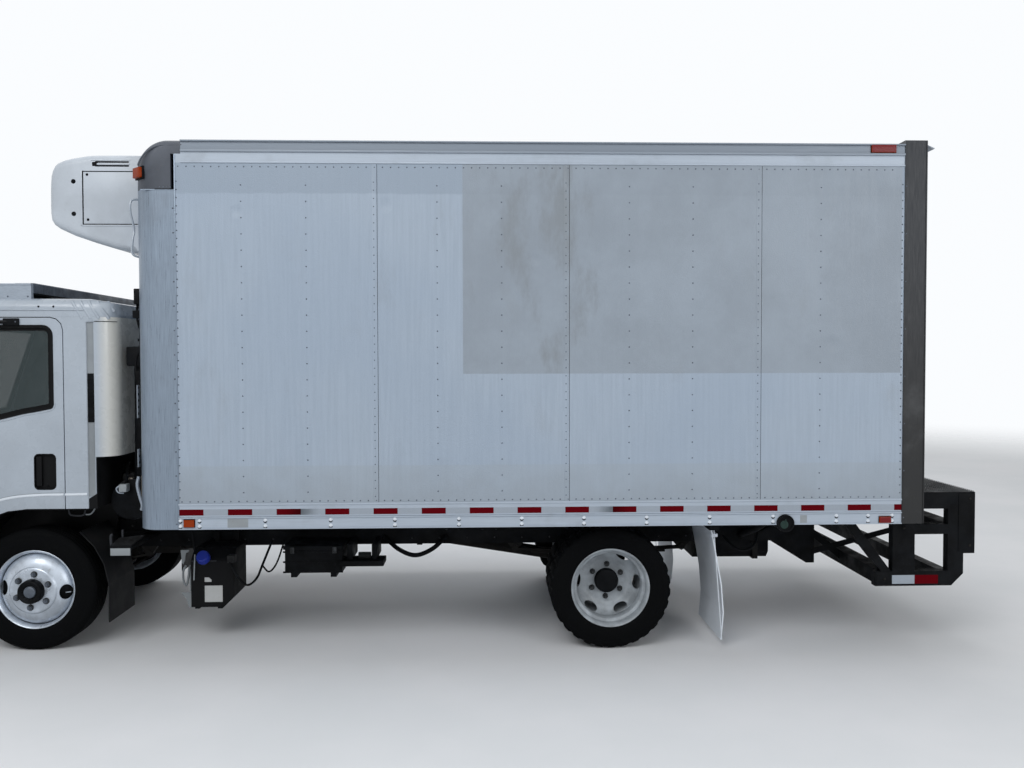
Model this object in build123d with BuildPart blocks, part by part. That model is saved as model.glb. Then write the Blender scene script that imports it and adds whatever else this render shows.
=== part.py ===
"""Refrigerated box truck with a tilting cab and a nose-mounted cooling unit.

Millimetres. +X to the rear, +Y to the truck's right, +Z up. The origin is on the ground, at the
middle of the truck's length and width. Stations along the truck are given behind the front axle.
"""

from build123d import *
import os
from math import atan2, cos, pi, radians, sin, sqrt

os.makedirs("parts", exist_ok=True)

# Overall layout, stations behind the front axle
wheelbase = 3810
front_overhang = 1229
cab_back = 571
cab_to_box = 206
box_length = 5042
platform_length = 406
frame_tail = 419  # box behind the frame's end
frame_nose = 1100  # frame ahead of the front axle

box_front = cab_back + cab_to_box
box_rear = box_front + box_length
rear_end = box_rear + platform_length
frame_end = box_rear - frame_tail
front_axle_x = front_overhang - (front_overhang + rear_end) / 2

# Wheels and tyres
tyre_radius = 403
tyre_width = 226
tyre_bead_radius = 248
rim_radius = 260.35
rim_width = 195
rim_wall = 9
disc_outset = 127
disc_thickness = 12
hub_radius = 82
hub_bore = 32
dual_spacing = 254
front_rim_y = 823.5  # middle of the front rim
rear_rim_y = 936.5  # middle of the outer rear rim
hand_hole_radius = 26
hand_hole_circle = 366
hand_hole_turn = 30  # first hole from the level, so that each lies in one flat
front_hand_holes, rear_hand_holes = 2, 6
wheel_sides = 18  # flats round a tyre or a rim
drum_radius = 138
cap_wall = 16
spindle_gap = 2
front_face = front_rim_y + disc_outset
front_cap = front_face + 48
front_drum_y = 806
rear_face = rear_rim_y - disc_outset
rear_cap = rear_face + 40
rear_spindle_end = rear_cap - cap_wall - spindle_gap

# Ladder frame
frame_width = 851
rail_top = 773
rail_height = 190
rail_flange = 65
rail_wall = 7
member_inset = 40

# Tow eyes under the front of the rails
tow_x = -1040
tow_z = 365
tow_bore = 18
tow_thickness = 20

# Steering
kingpin_y = 712
kingpin_radius = 20
steer_arm = 150
steer_fit = 0.3

# Insulated box
box_width = 2438
box_bottom = 851
box_top = 3295
wall = 76
panel_bottom = 1013
panel_top = 3149
corner_radius = 150
post_rear = 250  # corner post, along the side
cap_bottom = 2986
cap_length = 310
cap_crown = 210
rear_post = 145
rear_frame_top = 3316
door_frame_width = 95
rear_door_panels = 6

# Cab
cab_width = 2000
cab_top = 2327
cab_skin = 45
door_front = -905
door_rear = 243
door_top = 2196
door_gap = 6
hinge_heights = (860, 1290)
hinge_pin = 7
hinge_barrel = 13
hinge_leaf = 6
hinge_reach = 48
hinge_half = 20
hinge_x = door_front - 3
hinge_out = hinge_barrel + 1  # hinge axis outside the skin
tilt_x = -1050
tilt_z = 640
tilt_tube_radius = 24
arch_radius = 550
step_bottom = 450
hump_half = 485
hump_top = 1185
hump_wall = 30
hump_back = 395

seam = 0.5  # open joint between fixed panels
fit_gap = 0.3  # between pieces that seat on each other


def fx(station):
    """Model x of a station behind the front axle."""
    return front_axle_x + station


def block(x0, x1, y0, y1, z0, z1, mode=Mode.ADD):
    """Box between two stations, two widths and two heights."""
    with Locations((fx((x0 + x1) / 2), (y0 + y1) / 2, (z0 + z1) / 2)):
        return Box(x1 - x0, y1 - y0, z1 - z0, mode=mode)


def side_plate(points, y0, y1, mode=Mode.ADD):
    """Side-view outline, as station and height, extruded across the truck."""
    with BuildSketch(Plane.XZ.offset(-y1)) as outline:
        with BuildLine():
            Polyline(*[(fx(x), z) for x, z in points], close=True)
        make_face()
    extrude(outline.sketch, amount=y1 - y0, mode=mode)


def cross_section(points, x0, x1, mode=Mode.ADD):
    """End-view outline, as width and height, extruded along the truck."""
    with BuildSketch(Plane.YZ.offset(fx(x0))) as outline:
        with BuildLine():
            Polyline(*points, close=True)
        make_face()
    extrude(outline.sketch, amount=x1 - x0, mode=mode)


def cross_tube(x, z, radius, y0, y1, mode=Mode.ADD, flats=0, inscribed=False):
    """Bar across the truck, round or with a number of flats round or inside its radius."""
    with BuildSketch(Plane.XZ.offset(-y1)) as end:
        with Locations((fx(x), z)):
            if flats:
                RegularPolygon(radius, flats, major_radius=inscribed, rotation=180 / flats)
            else:
                Circle(radius)
    extrude(end.sketch, amount=y1 - y0, mode=mode)


def upright(x, y, z0, z1, radius, mode=Mode.ADD, flats=0, inscribed=False):
    """Standing bar, round or with a number of flats round or inside its radius."""
    with BuildSketch(Plane.XY.offset(z0)) as end:
        with Locations((fx(x), y)):
            if flats:
                RegularPolygon(radius, flats, major_radius=inscribed, rotation=180 / flats)
            else:
                Circle(radius)
    extrude(end.sketch, amount=z1 - z0, mode=mode)


def bend(x, y, radius, start, end, flats):
    """Corners of flats round an arc between two angles in degrees."""
    return [(x + radius * cos(radians(start + (end - start) * n / flats)),
             y + radius * sin(radians(start + (end - start) * n / flats))) for n in range(flats + 1)]


def ring(station, profile, flats):
    """Closed outline of width and radius, carried round an axle in flats, one of them at the bottom."""
    turn = 2 * pi / flats

    def corner(n, w, r):
        angle, reach = (n + 0.5) * turn - pi / 2, r / cos(turn / 2)
        return fx(station) + reach * cos(angle), w, tyre_radius + reach * sin(angle)

    faces = []
    for (w0, r0), (w1, r1) in zip(profile, profile[1:] + profile[:1]):
        for n in range(flats):
            sides = [corner(n, w0, r0), corner(n + 1, w0, r0), corner(n + 1, w1, r1), corner(n, w1, r1)]
            faces.append(Face(Wire.make_polygon(sides, close=True)))
    solid = Solid(Shell(faces))
    return solid if solid.volume > 0 else Solid(Shell([-face for face in faces]))


# Ladder frame: two channels opening inwards, cross members and the cab's tilt tube
half_frame = frame_width / 2
rail_bottom = rail_top - rail_height
bearing_x = 2480
cross_members = (-950, 940, 1560, bearing_x, wheelbase - 630, wheelbase + 660, frame_end - 60)
with BuildPart() as frame_rails:
    for side in (-1, 1):
        outer, web, tip = (side * (half_frame - d) for d in (0, rail_wall, rail_flange))
        cross_section(
            [
                (outer, rail_bottom), (tip, rail_bottom), (tip, rail_bottom + rail_wall),
                (web, rail_bottom + rail_wall), (web, rail_top - rail_wall), (tip, rail_top - rail_wall),
                (tip, rail_top), (outer, rail_top),
            ],
            -frame_nose, frame_end,
        )
    for x in cross_members:
        block(x - 30, x + 30, -half_frame + rail_wall, half_frame - rail_wall, rail_bottom + member_inset,
              rail_top - member_inset)
    cross_tube(tilt_x, tilt_z, tilt_tube_radius, -half_frame, half_frame)
    for side in (-1, 1):
        block(tow_x - 50, tow_x + 50, *sorted((side * half_frame, side * (half_frame - tow_thickness))),
              tow_z - 40, rail_bottom)
        cross_tube(tow_x, tow_z, tow_bore, *sorted((side * (half_frame + 1), side * (half_frame - 60))),
                   mode=Mode.SUBTRACT)
frame_rails.part.label = "frame_rails"
export_step(frame_rails.part, "parts/frame_rails.step")

# Front bumper: bent steel face on two brackets to the rails
bumper_bottom, bumper_top, bumper_wrap, bumper_wall = 395, 592, 330, 22
with BuildPart() as front_bumper:
    with BuildSketch(Plane.XY.offset(bumper_bottom)):
        with Locations((fx(-front_overhang + bumper_wrap), 0)):
            Rectangle(2 * bumper_wrap, cab_width)
    extrude(amount=bumper_top - bumper_bottom)
    fillet(front_bumper.edges().filter_by(Axis.Z).group_by(Axis.X)[0], 190)
    offset(amount=-bumper_wall, openings=front_bumper.faces().filter_by(Axis.Z), kind=Kind.INTERSECTION)
    block(-front_overhang + bumper_wrap, 0, -cab_width, cab_width, 0, cab_top, mode=Mode.SUBTRACT)
    for side in (-1, 1):
        y = side * (half_frame - 60)
        block(-front_overhang + bumper_wall, -frame_nose, y - 35, y + 35, rail_bottom - 90, rail_bottom - 20)
        block(-frame_nose, -frame_nose + 120, y - 35, y + 35, rail_bottom - 90, rail_bottom)
front_bumper.part.label = "front_bumper"
export_step(front_bumper.part, "parts/front_bumper.step")

# Front axle: dropped beam between the kingpins, spring seats on top
hub_z = tyre_radius
beam_z = hub_z - 70
spring_y = half_frame - 35
spring_width = 70
seat_z = beam_z + 60
rear_seat_z = hub_z + 65
with BuildPart() as front_axle:
    with BuildSketch(Plane.YZ.offset(fx(-38))):
        with BuildLine():
            Polyline(
                (-kingpin_y + 70, hub_z - 25), (-spring_y - 60, beam_z - 30), (spring_y + 60, beam_z - 30),
                (kingpin_y - 70, hub_z - 25), (kingpin_y - 70, hub_z + 25), (spring_y + 60, seat_z),
                (spring_y - 60, seat_z), (spring_y - 100, beam_z + 35), (-spring_y + 100, beam_z + 35),
                (-spring_y + 60, seat_z), (-spring_y - 60, seat_z), (-kingpin_y + 70, hub_z + 25),
                close=True,
            )
        make_face()
    extrude(amount=76)
    for side in (-1, 1):
        block(-25, 25, *sorted((side * (kingpin_y - 75), side * kingpin_y)), hub_z - 45, hub_z + 45)
        upright(0, side * kingpin_y, hub_z - 45, hub_z + 45, 36, flats=12)
        upright(0, side * kingpin_y, hub_z - 107, hub_z + 107, kingpin_radius, flats=12, inscribed=True)
front_axle.part.label = "front_axle"
export_step(front_axle.part, "parts/front_axle.step")

# Leaf springs: one pack a side on each axle, with hangers under the rails and U-bolt plates
# columns: axle station, seat height, half span, leaves, eye rise
spring_rows = (
    (0, seat_z, 560, 3, 95),
    (wheelbase, rear_seat_z, 610, 4, 20),
)
leaf_thickness = 14
with BuildPart() as leaf_springs:
    for x, z, span, leaves, rise in spring_rows:
        for side in (-1, 1):
            y0, y1 = side * spring_y - spring_width / 2, side * spring_y + spring_width / 2
            for leaf in range(leaves):
                reach = span * (1 - 0.2 * (leaves - 1 - leaf))
                base = z + leaf * leaf_thickness
                lift = rise * (reach / span) ** 2
                side_plate(
                    [
                        (x - 60, base), (x + 60, base), (x + reach, base + lift),
                        (x + reach, base + lift + leaf_thickness), (x + 60, base + leaf_thickness),
                        (x - 60, base + leaf_thickness), (x - reach, base + lift + leaf_thickness),
                        (x - reach, base + lift),
                    ],
                    y0, y1,
                )
            eye = z + (leaves - 1) * leaf_thickness + rise + leaf_thickness
            for end in (-1, 1):
                cross_tube(x + end * span, eye, 22, y0, y1, flats=6)
                side_plate(
                    [
                        (x + end * span - 26, eye), (x + end * span + 26, eye),
                        (x + end * span + 60, rail_bottom), (x + end * span - 60, rail_bottom),
                    ],
                    y0 + 12, y1 - 12,
                )
            stack = z + leaves * leaf_thickness
            block(x - 60, x + 60, y0 - 8, y1 + 8, stack, stack + 18)
leaf_springs.part.label = "leaf_springs"
export_step(leaf_springs.part, "parts/leaf_springs.step")

# Rear axle: banjo housing, tapering tubes, spring seats, backing plates and spindles
inner_rim_y = rear_rim_y - dual_spacing
plate_y = inner_rim_y - rim_width / 2 + 40
rear_drum_y = plate_y + 15
axle_outline = [(240, 62), (175, 150), (90, 195)]
with BuildPart() as rear_axle:
    sections = [(-plate_y, 48)] + [(-w, r) for w, r in axle_outline] + axle_outline[::-1] + [(plate_y, 48)]
    add(ring(wheelbase, sections + [(plate_y, 20), (-plate_y, 20)], 12))
    cross_tube(wheelbase, hub_z, 24, -plate_y, plate_y, flats=6)
    with BuildSketch(Plane.YZ.offset(fx(wheelbase - 265))) as nose:
        with Locations((0, hub_z)):
            RegularPolygon(60, 8)
    with BuildSketch(Plane.YZ.offset(fx(wheelbase - 115))) as throat:
        with Locations((0, hub_z)):
            RegularPolygon(120, 8)
    loft([nose.sketch, throat.sketch], ruled=True)
    for side in (-1, 1):
        block(
            wheelbase - 60, wheelbase + 60, side * spring_y - 43, side * spring_y + 43,
            hub_z, rear_seat_z,
        )
        cross_tube(wheelbase, hub_z, 165, *sorted((side * plate_y, side * (plate_y + 12))), flats=12)
        cross_tube(wheelbase, hub_z, hub_bore - steer_fit, *sorted((side * plate_y, side * rear_spindle_end)),
                   flats=12, inscribed=True)
rear_axle.part.label = "rear_axle"
export_step(rear_axle.part, "parts/rear_axle.step")

# Engine, one plain block between the rails under the seats
engine_length, engine_half, engine_bottom, engine_top = 820, 300, 470, 1110
engine_front = -560
with BuildPart() as engine_block:
    block(engine_front, engine_front + engine_length, -engine_half, engine_half, engine_bottom, engine_top)
    chamfer(engine_block.edges().filter_by(Axis.X).group_by(Axis.Z)[0], 90)
    for side in (-1, 1):
        block(-420, -340, *sorted((side * engine_half, side * (half_frame - rail_wall))), 640, 690)
engine_block.part.label = "engine_block"
export_step(engine_block.part, "parts/engine_block.step")

# Radiator ahead of the engine, on the front of the rails
with BuildPart() as radiator:
    block(-860, -780, -330, 330, 560, 1060)
    for side in (-1, 1):
        block(-850, -790, *sorted((side * 330, side * (half_frame - rail_wall))), 640, 690)
radiator.part.label = "radiator"
export_step(radiator.part, "parts/radiator.step")

# Gearbox and two-piece propeller shaft with its centre bearing
gearbox_start = engine_front + engine_length
gearbox_length = 620
shaft_z = 575
shaft_radius = 45
pinion_x = wheelbase - 265
with BuildPart() as propshaft:
    for x0, x1, across, tall, middle in (
        (gearbox_start, gearbox_start + 130, 420, 330, 610),
        (gearbox_start + 130, gearbox_start + 430, 280, 270, 592),
        (gearbox_start + 430, gearbox_start + gearbox_length, 180, 180, shaft_z),
    ):
        w, h, c = across / 2, tall / 2, across / 5
        cross_section(
            [(y, middle + z) for y, z in (
                (-w, c - h), (c - w, -h), (w - c, -h), (w, c - h), (w, h - c), (w - c, h), (c - w, h), (-w, h - c),
            )],
            x0, x1,
        )
    shaft_front = gearbox_start + gearbox_length
    with BuildSketch(Plane.YZ.offset(fx(shaft_front))) as front_shaft:
        with Locations((0, shaft_z)):
            RegularPolygon(shaft_radius, 8)
    extrude(front_shaft.sketch, amount=bearing_x - shaft_front)
    drop = atan2(shaft_z - hub_z, pinion_x - bearing_x)
    run = sqrt((shaft_z - hub_z) ** 2 + (pinion_x - bearing_x) ** 2)
    shaft_line = Plane(origin=(fx(bearing_x), 0, shaft_z), x_dir=(0, 1, 0), z_dir=(cos(drop), 0, -sin(drop)))
    with BuildSketch(shaft_line) as rear_shaft:
        RegularPolygon(shaft_radius, 8)
    extrude(rear_shaft.sketch, amount=run - shaft_radius * sin(drop) - fit_gap)
    bearing_top = rail_bottom + member_inset
    cross_section([(-95, shaft_z - 70), (95, shaft_z - 70), (95, bearing_top), (-95, bearing_top)],
                  bearing_x - 20, bearing_x + 20)
propshaft.part.label = "propshaft"
export_step(propshaft.part, "parts/propshaft.step")

# Diesel exhaust fluid tank on a bracket outside the left rail
def_front, def_length, def_bottom, def_height, def_width = 975, 290, 234, 390, 330
def_y = -half_frame - 25
with BuildPart() as def_tank:
    block(def_front, def_front + def_length, def_y - def_width, def_y, def_bottom, def_bottom + def_height)
    chamfer(def_tank.edges().filter_by(Axis.Y).group_by(Axis.X)[-1].group_by(Axis.Z)[0], 70)
    fillet(def_tank.edges().filter_by(Axis.Z).group_by(Axis.Y)[0], 40)
    upright(def_front + 90, def_y - def_width + 70, def_bottom + def_height - 55, def_bottom + def_height + 55, 34,
            flats=10)
    block(def_front + 60, def_front + 100, def_y, -half_frame, rail_bottom - 120, rail_top - 60)
    block(def_front + 200, def_front + 240, def_y, -half_frame, rail_bottom - 120, rail_top - 60)
def_tank.part.label = "def_tank"
export_step(def_tank.part, "parts/def_tank.step")

# Battery box outside the left rail
battery_front, battery_length, battery_bottom, battery_height, battery_width = 1600, 392, 420, 180, 300
with BuildPart() as battery_box:
    block(battery_front, battery_front + battery_length, -half_frame - battery_width, -half_frame,
          battery_bottom + 30, battery_bottom + 30 + battery_height)
    fillet(battery_box.edges().filter_by(Axis.X).group_by(Axis.Z)[-1].group_by(Axis.Y)[0], 25)
    for end in (60, battery_length - 60):
        block(battery_front + end - 20, battery_front + end + 20, -half_frame - battery_width, -half_frame,
              battery_bottom, battery_bottom + 30)
battery_box.part.label = "battery_box"
export_step(battery_box.part, "parts/battery_box.step")

# Fuel tank slung between the rails behind the rear axle
fuel_front, fuel_length, fuel_width, fuel_bottom, fuel_height = wheelbase + 730, 560, 620, 430, 300
with BuildPart() as fuel_tank:
    block(fuel_front, fuel_front + fuel_length, -fuel_width / 2, fuel_width / 2, fuel_bottom,
          fuel_bottom + fuel_height)
    chamfer(fuel_tank.edges().filter_by(Axis.X), 50)
    for end in (130, fuel_length - 130):
        for side in (-1, 1):
            block(fuel_front + end - 25, fuel_front + end + 25,
                  *sorted((side * (fuel_width / 2 - 70), side * (half_frame - 2 * rail_wall))),
                  rail_bottom - 20, rail_bottom)
fuel_tank.part.label = "fuel_tank"
export_step(fuel_tank.part, "parts/fuel_tank.step")

# Exhaust after-treatment canisters outside the right rail, with the outlet pipe
exhaust_front, exhaust_length, exhaust_radius, exhaust_z = 1000, 900, 140, 520
exhaust_y = half_frame + 200
with BuildPart() as exhaust:
    for x, length, radius in (
        (exhaust_front, exhaust_length, exhaust_radius), (exhaust_front + exhaust_length, 420, 50),
    ):
        with BuildSketch(Plane.YZ.offset(fx(x))) as can:
            with Locations((exhaust_y, exhaust_z)):
                RegularPolygon(radius, 12)
        extrude(can.sketch, amount=length)
    for end in (160, exhaust_length - 160):
        block(exhaust_front + end - 25, exhaust_front + end + 25, half_frame, exhaust_y, 560, 600)
exhaust.part.label = "exhaust"
export_step(exhaust.part, "parts/exhaust.step")

# Mudguards behind the front wheels: arched sheet with a hanging flap, on a stay from the rail
guard_radius, guard_wall, guard_inner = 480, 8, hump_half + 15
guard_width = 420
with BuildPart() as mudguards:
    for side in (-1, 1):
        bends = [(r * cos(radians(a)), hub_z + r * sin(radians(a)))
                 for r, turn in ((guard_radius, (52, 36, 20, 4)), (guard_radius + guard_wall, (4, 20, 36, 52)))
                 for a in turn]
        side_plate(bends, *sorted((side * guard_inner, side * (guard_inner + guard_width))))
        edge = guard_radius * cos(radians(4))
        block(edge, edge + guard_wall, *sorted((side * guard_inner, side * (guard_inner + guard_width))),
              180, hub_z + 36)
        block(edge - 60, edge - 30, *sorted((side * half_frame, side * (guard_inner + 60))), 640, 665)
mudguards.part.label = "mudguards"
export_step(mudguards.part, "parts/mudguards.step")

# Mudflaps behind the rear wheels, on a bar from the rail
flap_x, flap_bottom, flap_top, flap_wall = wheelbase + 655, 60, 810, 8
flap_inner, flap_width = 480, 590
with BuildPart() as mudflaps:
    for side in (-1, 1):
        y0, y1 = sorted((side * flap_inner, side * (flap_inner + flap_width)))
        side_plate(
            [
                (flap_x, flap_top), (flap_x + 70, 430), (flap_x + 85, 240), (flap_x + 70, flap_bottom),
                (flap_x + 70 + flap_wall, flap_bottom), (flap_x + 85 + flap_wall, 240),
                (flap_x + 70 + flap_wall, 430), (flap_x + flap_wall, flap_top),
            ],
            y0, y1,
        )
        block(flap_x + flap_wall, flap_x + 48, *sorted((side * half_frame, side * (flap_inner + flap_width))),
              745, 765)
mudflaps.part.label = "mudflaps"
export_step(mudflaps.part, "parts/mudflaps.step")

# Tyres and rims in flats: section as width from the middle and radius, one side of it
tyre_section = (
    (rim_width / 2 - 14.4, tyre_bead_radius + fit_gap), (rim_width / 2 - 12.4, rim_radius + fit_gap),
    (tyre_width / 2, (rim_radius + tyre_radius) / 2), (tyre_width / 2 - 16, tyre_radius - 11),
    (tyre_width / 2 - 40, tyre_radius),
)
tyre_bore = ((rim_width / 2 - 34, tyre_bead_radius + fit_gap), (tyre_width / 2 - 32, tyre_radius - 50))


def tyre(station, y):
    """Hollow tyre standing on the rim's barrel."""
    outer = [(y + w, r) for w, r in tyre_section] + [(y - w, r) for w, r in reversed(tyre_section)]
    bore = [(y - w, r) for w, r in tyre_bore] + [(y + w, r) for w, r in reversed(tyre_bore)]
    add(ring(station, outer + bore, wheel_sides))


def rim(station, y, face, holes):
    """Barrel with flanges about the middle y and its dished disc, whose face is at width face."""
    half, seat = rim_width / 2, rim_width / 2 - 14
    side, reach, join = (1 if face > y else -1), abs(face - y), half - 50
    section = [
        (-half, rim_radius), (-seat, tyre_bead_radius), (seat, tyre_bead_radius), (half, rim_radius),
        (half, rim_radius - rim_wall), (join, 219), (reach, 150), (reach, 60), (reach - disc_thickness, 60),
        (reach - disc_thickness, 145), (join - disc_thickness, 219), (-half, rim_radius - rim_wall),
    ]
    with BuildPart(mode=Mode.PRIVATE) as wheel:
        add(ring(station, [(y + side * w, r) for w, r in section], wheel_sides))
        for n in range(holes):
            angle = 2 * pi * n / holes + radians(hand_hole_turn)
            cross_tube(station + hand_hole_circle / 2 * cos(angle), hub_z + hand_hole_circle / 2 * sin(angle),
                       hand_hole_radius, *sorted((face + side * 5, face - side * 120)), mode=Mode.SUBTRACT, flats=6,
                       inscribed=True)
    add(wheel.part)


def wheel_hub(station, y0, y1, bore_end):
    """Hub barrel with a blind bore from y0 up to bore_end."""
    cross_tube(station, hub_z, hub_radius, *sorted((y0, y1)), flats=12)
    cross_tube(station, hub_z, hub_bore, *sorted((y0, bore_end)), mode=Mode.SUBTRACT)


for side, name in ((-1, "left"), (1, "right")):
    with BuildPart() as front_rim:
        rim(0, side * front_rim_y, side * front_face, front_hand_holes)
        cross_tube(0, hub_z, drum_radius, *sorted((side * front_drum_y, side * (front_face - disc_thickness))),
                   flats=12)
        wheel_hub(0, side * front_drum_y, side * front_cap, side * (front_cap - cap_wall))
    front_rim.part.label = f"front_rim_{name}"
    export_step(front_rim.part, f"parts/front_rim_{name}.step")

    with BuildPart() as front_tyre:
        tyre(0, side * front_rim_y)
    front_tyre.part.label = f"front_tyre_{name}"
    export_step(front_tyre.part, f"parts/front_tyre_{name}.step")

    with BuildPart() as rear_rims:
        rim(wheelbase, side * rear_rim_y, side * rear_face, rear_hand_holes)
        rim(wheelbase, side * (rear_rim_y - dual_spacing), side * (rear_face - disc_thickness), 0)
        cross_tube(wheelbase, hub_z, drum_radius,
                   *sorted((side * rear_drum_y, side * (rear_face - 2 * disc_thickness))), flats=12)
        wheel_hub(wheelbase, side * rear_drum_y, side * rear_cap, side * (rear_cap - cap_wall))
    rear_rims.part.label = f"rear_rims_{name}"
    export_step(rear_rims.part, f"parts/rear_rims_{name}.step")

    with BuildPart() as rear_tyres:
        tyre(wheelbase, side * rear_rim_y)
        tyre(wheelbase, side * (rear_rim_y - dual_spacing))
    rear_tyres.part.label = f"rear_tyres_{name}"
    export_step(rear_tyres.part, f"parts/rear_tyres_{name}.step")

    # Steering knuckle: two ears round the kingpin, outboard web, spindle, backing plate, rear arm
    arm_y = kingpin_y
    arm_z = hub_z - 105
    with BuildPart() as knuckle:
        for z in (hub_z - 105, hub_z + 48):
            upright(0, side * kingpin_y, z, z + 57, 36, flats=12)
            block(-34, 34, *sorted((side * kingpin_y, side * (kingpin_y + 62))), z, z + 57)
            upright(0, side * kingpin_y, z, z + 57, kingpin_radius + steer_fit, mode=Mode.SUBTRACT,
                    flats=0 if z > hub_z else 12)
        block(-44, 44, *sorted((side * (kingpin_y + 42), side * (kingpin_y + 72))), hub_z - 105, hub_z + 105)
        cross_tube(0, hub_z, 128, *sorted((side * (kingpin_y + 72), side * (kingpin_y + 80))), flats=12)
        cross_tube(0, hub_z, hub_bore - steer_fit,
                   *sorted((side * (kingpin_y + 80), side * (front_cap - cap_wall - spindle_gap))), flats=12,
                   inscribed=True)
        with BuildSketch(Plane.XY.offset(arm_z)) as arm:
            with BuildLine():
                Polyline(
                    (fx(30), side * (kingpin_y - 24)), (fx(steer_arm), side * (arm_y - 18)),
                    (fx(steer_arm + 18), side * arm_y), (fx(steer_arm), side * (arm_y + 18)),
                    (fx(30), side * (kingpin_y + 24)), close=True,
                )
            make_face()
        extrude(arm.sketch, amount=24)
        upright(steer_arm, side * arm_y, arm_z - 48, arm_z, 9)
    knuckle.part.label = f"knuckle_{name}"
    export_step(knuckle.part, f"parts/knuckle_{name}.step")

# Tie rod behind the axle, its eyes round the arms' pins
with BuildPart() as tie_rod:
    cross_tube(steer_arm, arm_z - 27, 14, -arm_y, arm_y, flats=8)
    for side in (-1, 1):
        upright(steer_arm, side * arm_y, arm_z - 45, arm_z - 9, 22, flats=8)
        upright(steer_arm, side * arm_y, arm_z - 45, arm_z - 9, 9 + steer_fit, mode=Mode.SUBTRACT, flats=8)
tie_rod.part.label = "tie_rod"
export_step(tie_rod.part, "parts/tie_rod.step")

# Insulated box
half_box = box_width / 2
post_end = box_front + post_rear + 22
frame_front = box_rear - rear_post
rail_lip = 927
sill_pitch = 406
floor_bottom = panel_bottom - wall
with BuildPart() as box_floor:
    for side in (-1, 1):
        y = side * half_box
        inner = side * (half_box - wall)
        cross_section(
            [
                (y, panel_bottom - seam), (inner, panel_bottom - seam), (inner, box_bottom),
                (y, box_bottom), (y, rail_lip - 8), (y - side * 4, rail_lip - 4), (y - side * 4, rail_lip),
                (y, rail_lip + 4),
            ],
            post_end + seam, frame_front - seam,
        )
        block(box_front + wall + seam, frame_end,
              *sorted((side * (half_frame - rail_flange), side * half_frame)), rail_top, box_bottom)
    block(box_front + wall + seam, post_end + seam, -half_box + corner_radius, half_box - corner_radius,
          floor_bottom, panel_bottom - seam)
    block(post_end + seam, frame_front - seam, -half_box + wall, half_box - wall, floor_bottom,
          panel_bottom - seam)
    count = int((frame_front - post_end - 120) / sill_pitch) + 1
    for n in range(count):
        x = post_end + 60 + n * sill_pitch
        block(x, x + 45, -half_box + wall, half_box - wall, box_bottom, floor_bottom)
box_floor.part.label = "box_floor"
export_step(box_floor.part, "parts/box_floor.step")

for side, name in ((-1, "left"), (1, "right")):
    with BuildPart() as box_wall:
        block(post_end + seam, frame_front - seam, *sorted((side * (half_box - wall), side * half_box)),
              panel_bottom, panel_top)
    box_wall.part.label = f"box_wall_{name}"
    export_step(box_wall.part, f"parts/box_wall_{name}.step")

with BuildPart() as box_front_wall:
    block(box_front, box_front + wall, -half_box + corner_radius + seam, half_box - corner_radius - seam,
          box_bottom, cap_bottom - seam)
box_front_wall.part.label = "box_front_wall"
export_step(box_front_wall.part, "parts/box_front_wall.step")

# Rounded aluminium corner posts
with BuildPart() as corner_posts:
    for side in (-1, 1):
        with BuildSketch(Plane.XY.offset(box_bottom)) as post:
            with BuildLine():
                outer_mid = corner_radius * (1 - cos(radians(45)))
                inner_r = corner_radius - wall
                inner_mid = corner_radius - inner_r * cos(radians(45))
                Line((fx(post_end), side * half_box), (fx(box_front + corner_radius), side * half_box))
                ThreePointArc(
                    (fx(box_front + corner_radius), side * half_box),
                    (fx(box_front + outer_mid), side * (half_box - outer_mid)),
                    (fx(box_front), side * (half_box - corner_radius)),
                )
                Line((fx(box_front), side * (half_box - corner_radius)),
                     (fx(box_front + wall), side * (half_box - corner_radius)))
                ThreePointArc(
                    (fx(box_front + wall), side * (half_box - corner_radius)),
                    (fx(box_front + inner_mid), side * (half_box - inner_mid)),
                    (fx(box_front + corner_radius), side * (half_box - wall)),
                )
                Line((fx(box_front + corner_radius), side * (half_box - wall)),
                     (fx(post_end), side * (half_box - wall)))
                Line((fx(post_end), side * (half_box - wall)), (fx(post_end), side * half_box))
            make_face()
        extrude(post.sketch, amount=cap_bottom - seam - box_bottom)
corner_posts.part.label = "corner_posts"
export_step(corner_posts.part, "parts/corner_posts.step")

# Nose cap: hollow rounded shell over the front's top edge, its lower sides end at the posts
cap_end = box_front + cap_length
rail_step = 3205
with BuildPart() as nose_cap:
    crown = bend(box_front + cap_crown, box_top - cap_crown, cap_crown, 180, 90, 5)
    side_plate([(cap_end, cap_bottom), (box_front, cap_bottom), *crown, (cap_end, box_top)], -half_box, half_box)
    for side in (-1, 1):
        corner = bend(box_front + corner_radius, half_box - corner_radius, corner_radius, 180, 90, 4)
        with BuildSketch(Plane.XY.offset(cap_bottom - 1)) as outside:
            with BuildLine():
                Polyline(*[(fx(x), side * y) for x, y in (
                    (box_front - 1, half_box - corner_radius), *corner, (box_front + corner_radius, half_box + 1),
                    (box_front - 1, half_box + 1),
                )], close=True)
            make_face()
        extrude(outside.sketch, amount=cap_crown + box_top, mode=Mode.SUBTRACT)
    block(box_front + wall, cap_end + 1, -half_box + wall, half_box - wall, cap_bottom - 1, box_top - wall,
          mode=Mode.SUBTRACT)
    block(post_end, cap_end + 1, -half_box - 1, half_box + 1, cap_bottom - 1, rail_step + seam, mode=Mode.SUBTRACT)
nose_cap.part.label = "nose_cap"
export_step(nose_cap.part, "parts/nose_cap.step")

# Roof panel between the top side rails
with BuildPart() as box_roof:
    block(cap_end + seam, frame_front - seam, -half_box + wall + seam, half_box - wall - seam, box_top - wall,
          box_top)
box_roof.part.label = "box_roof"
export_step(box_roof.part, "parts/box_roof.step")

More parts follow.
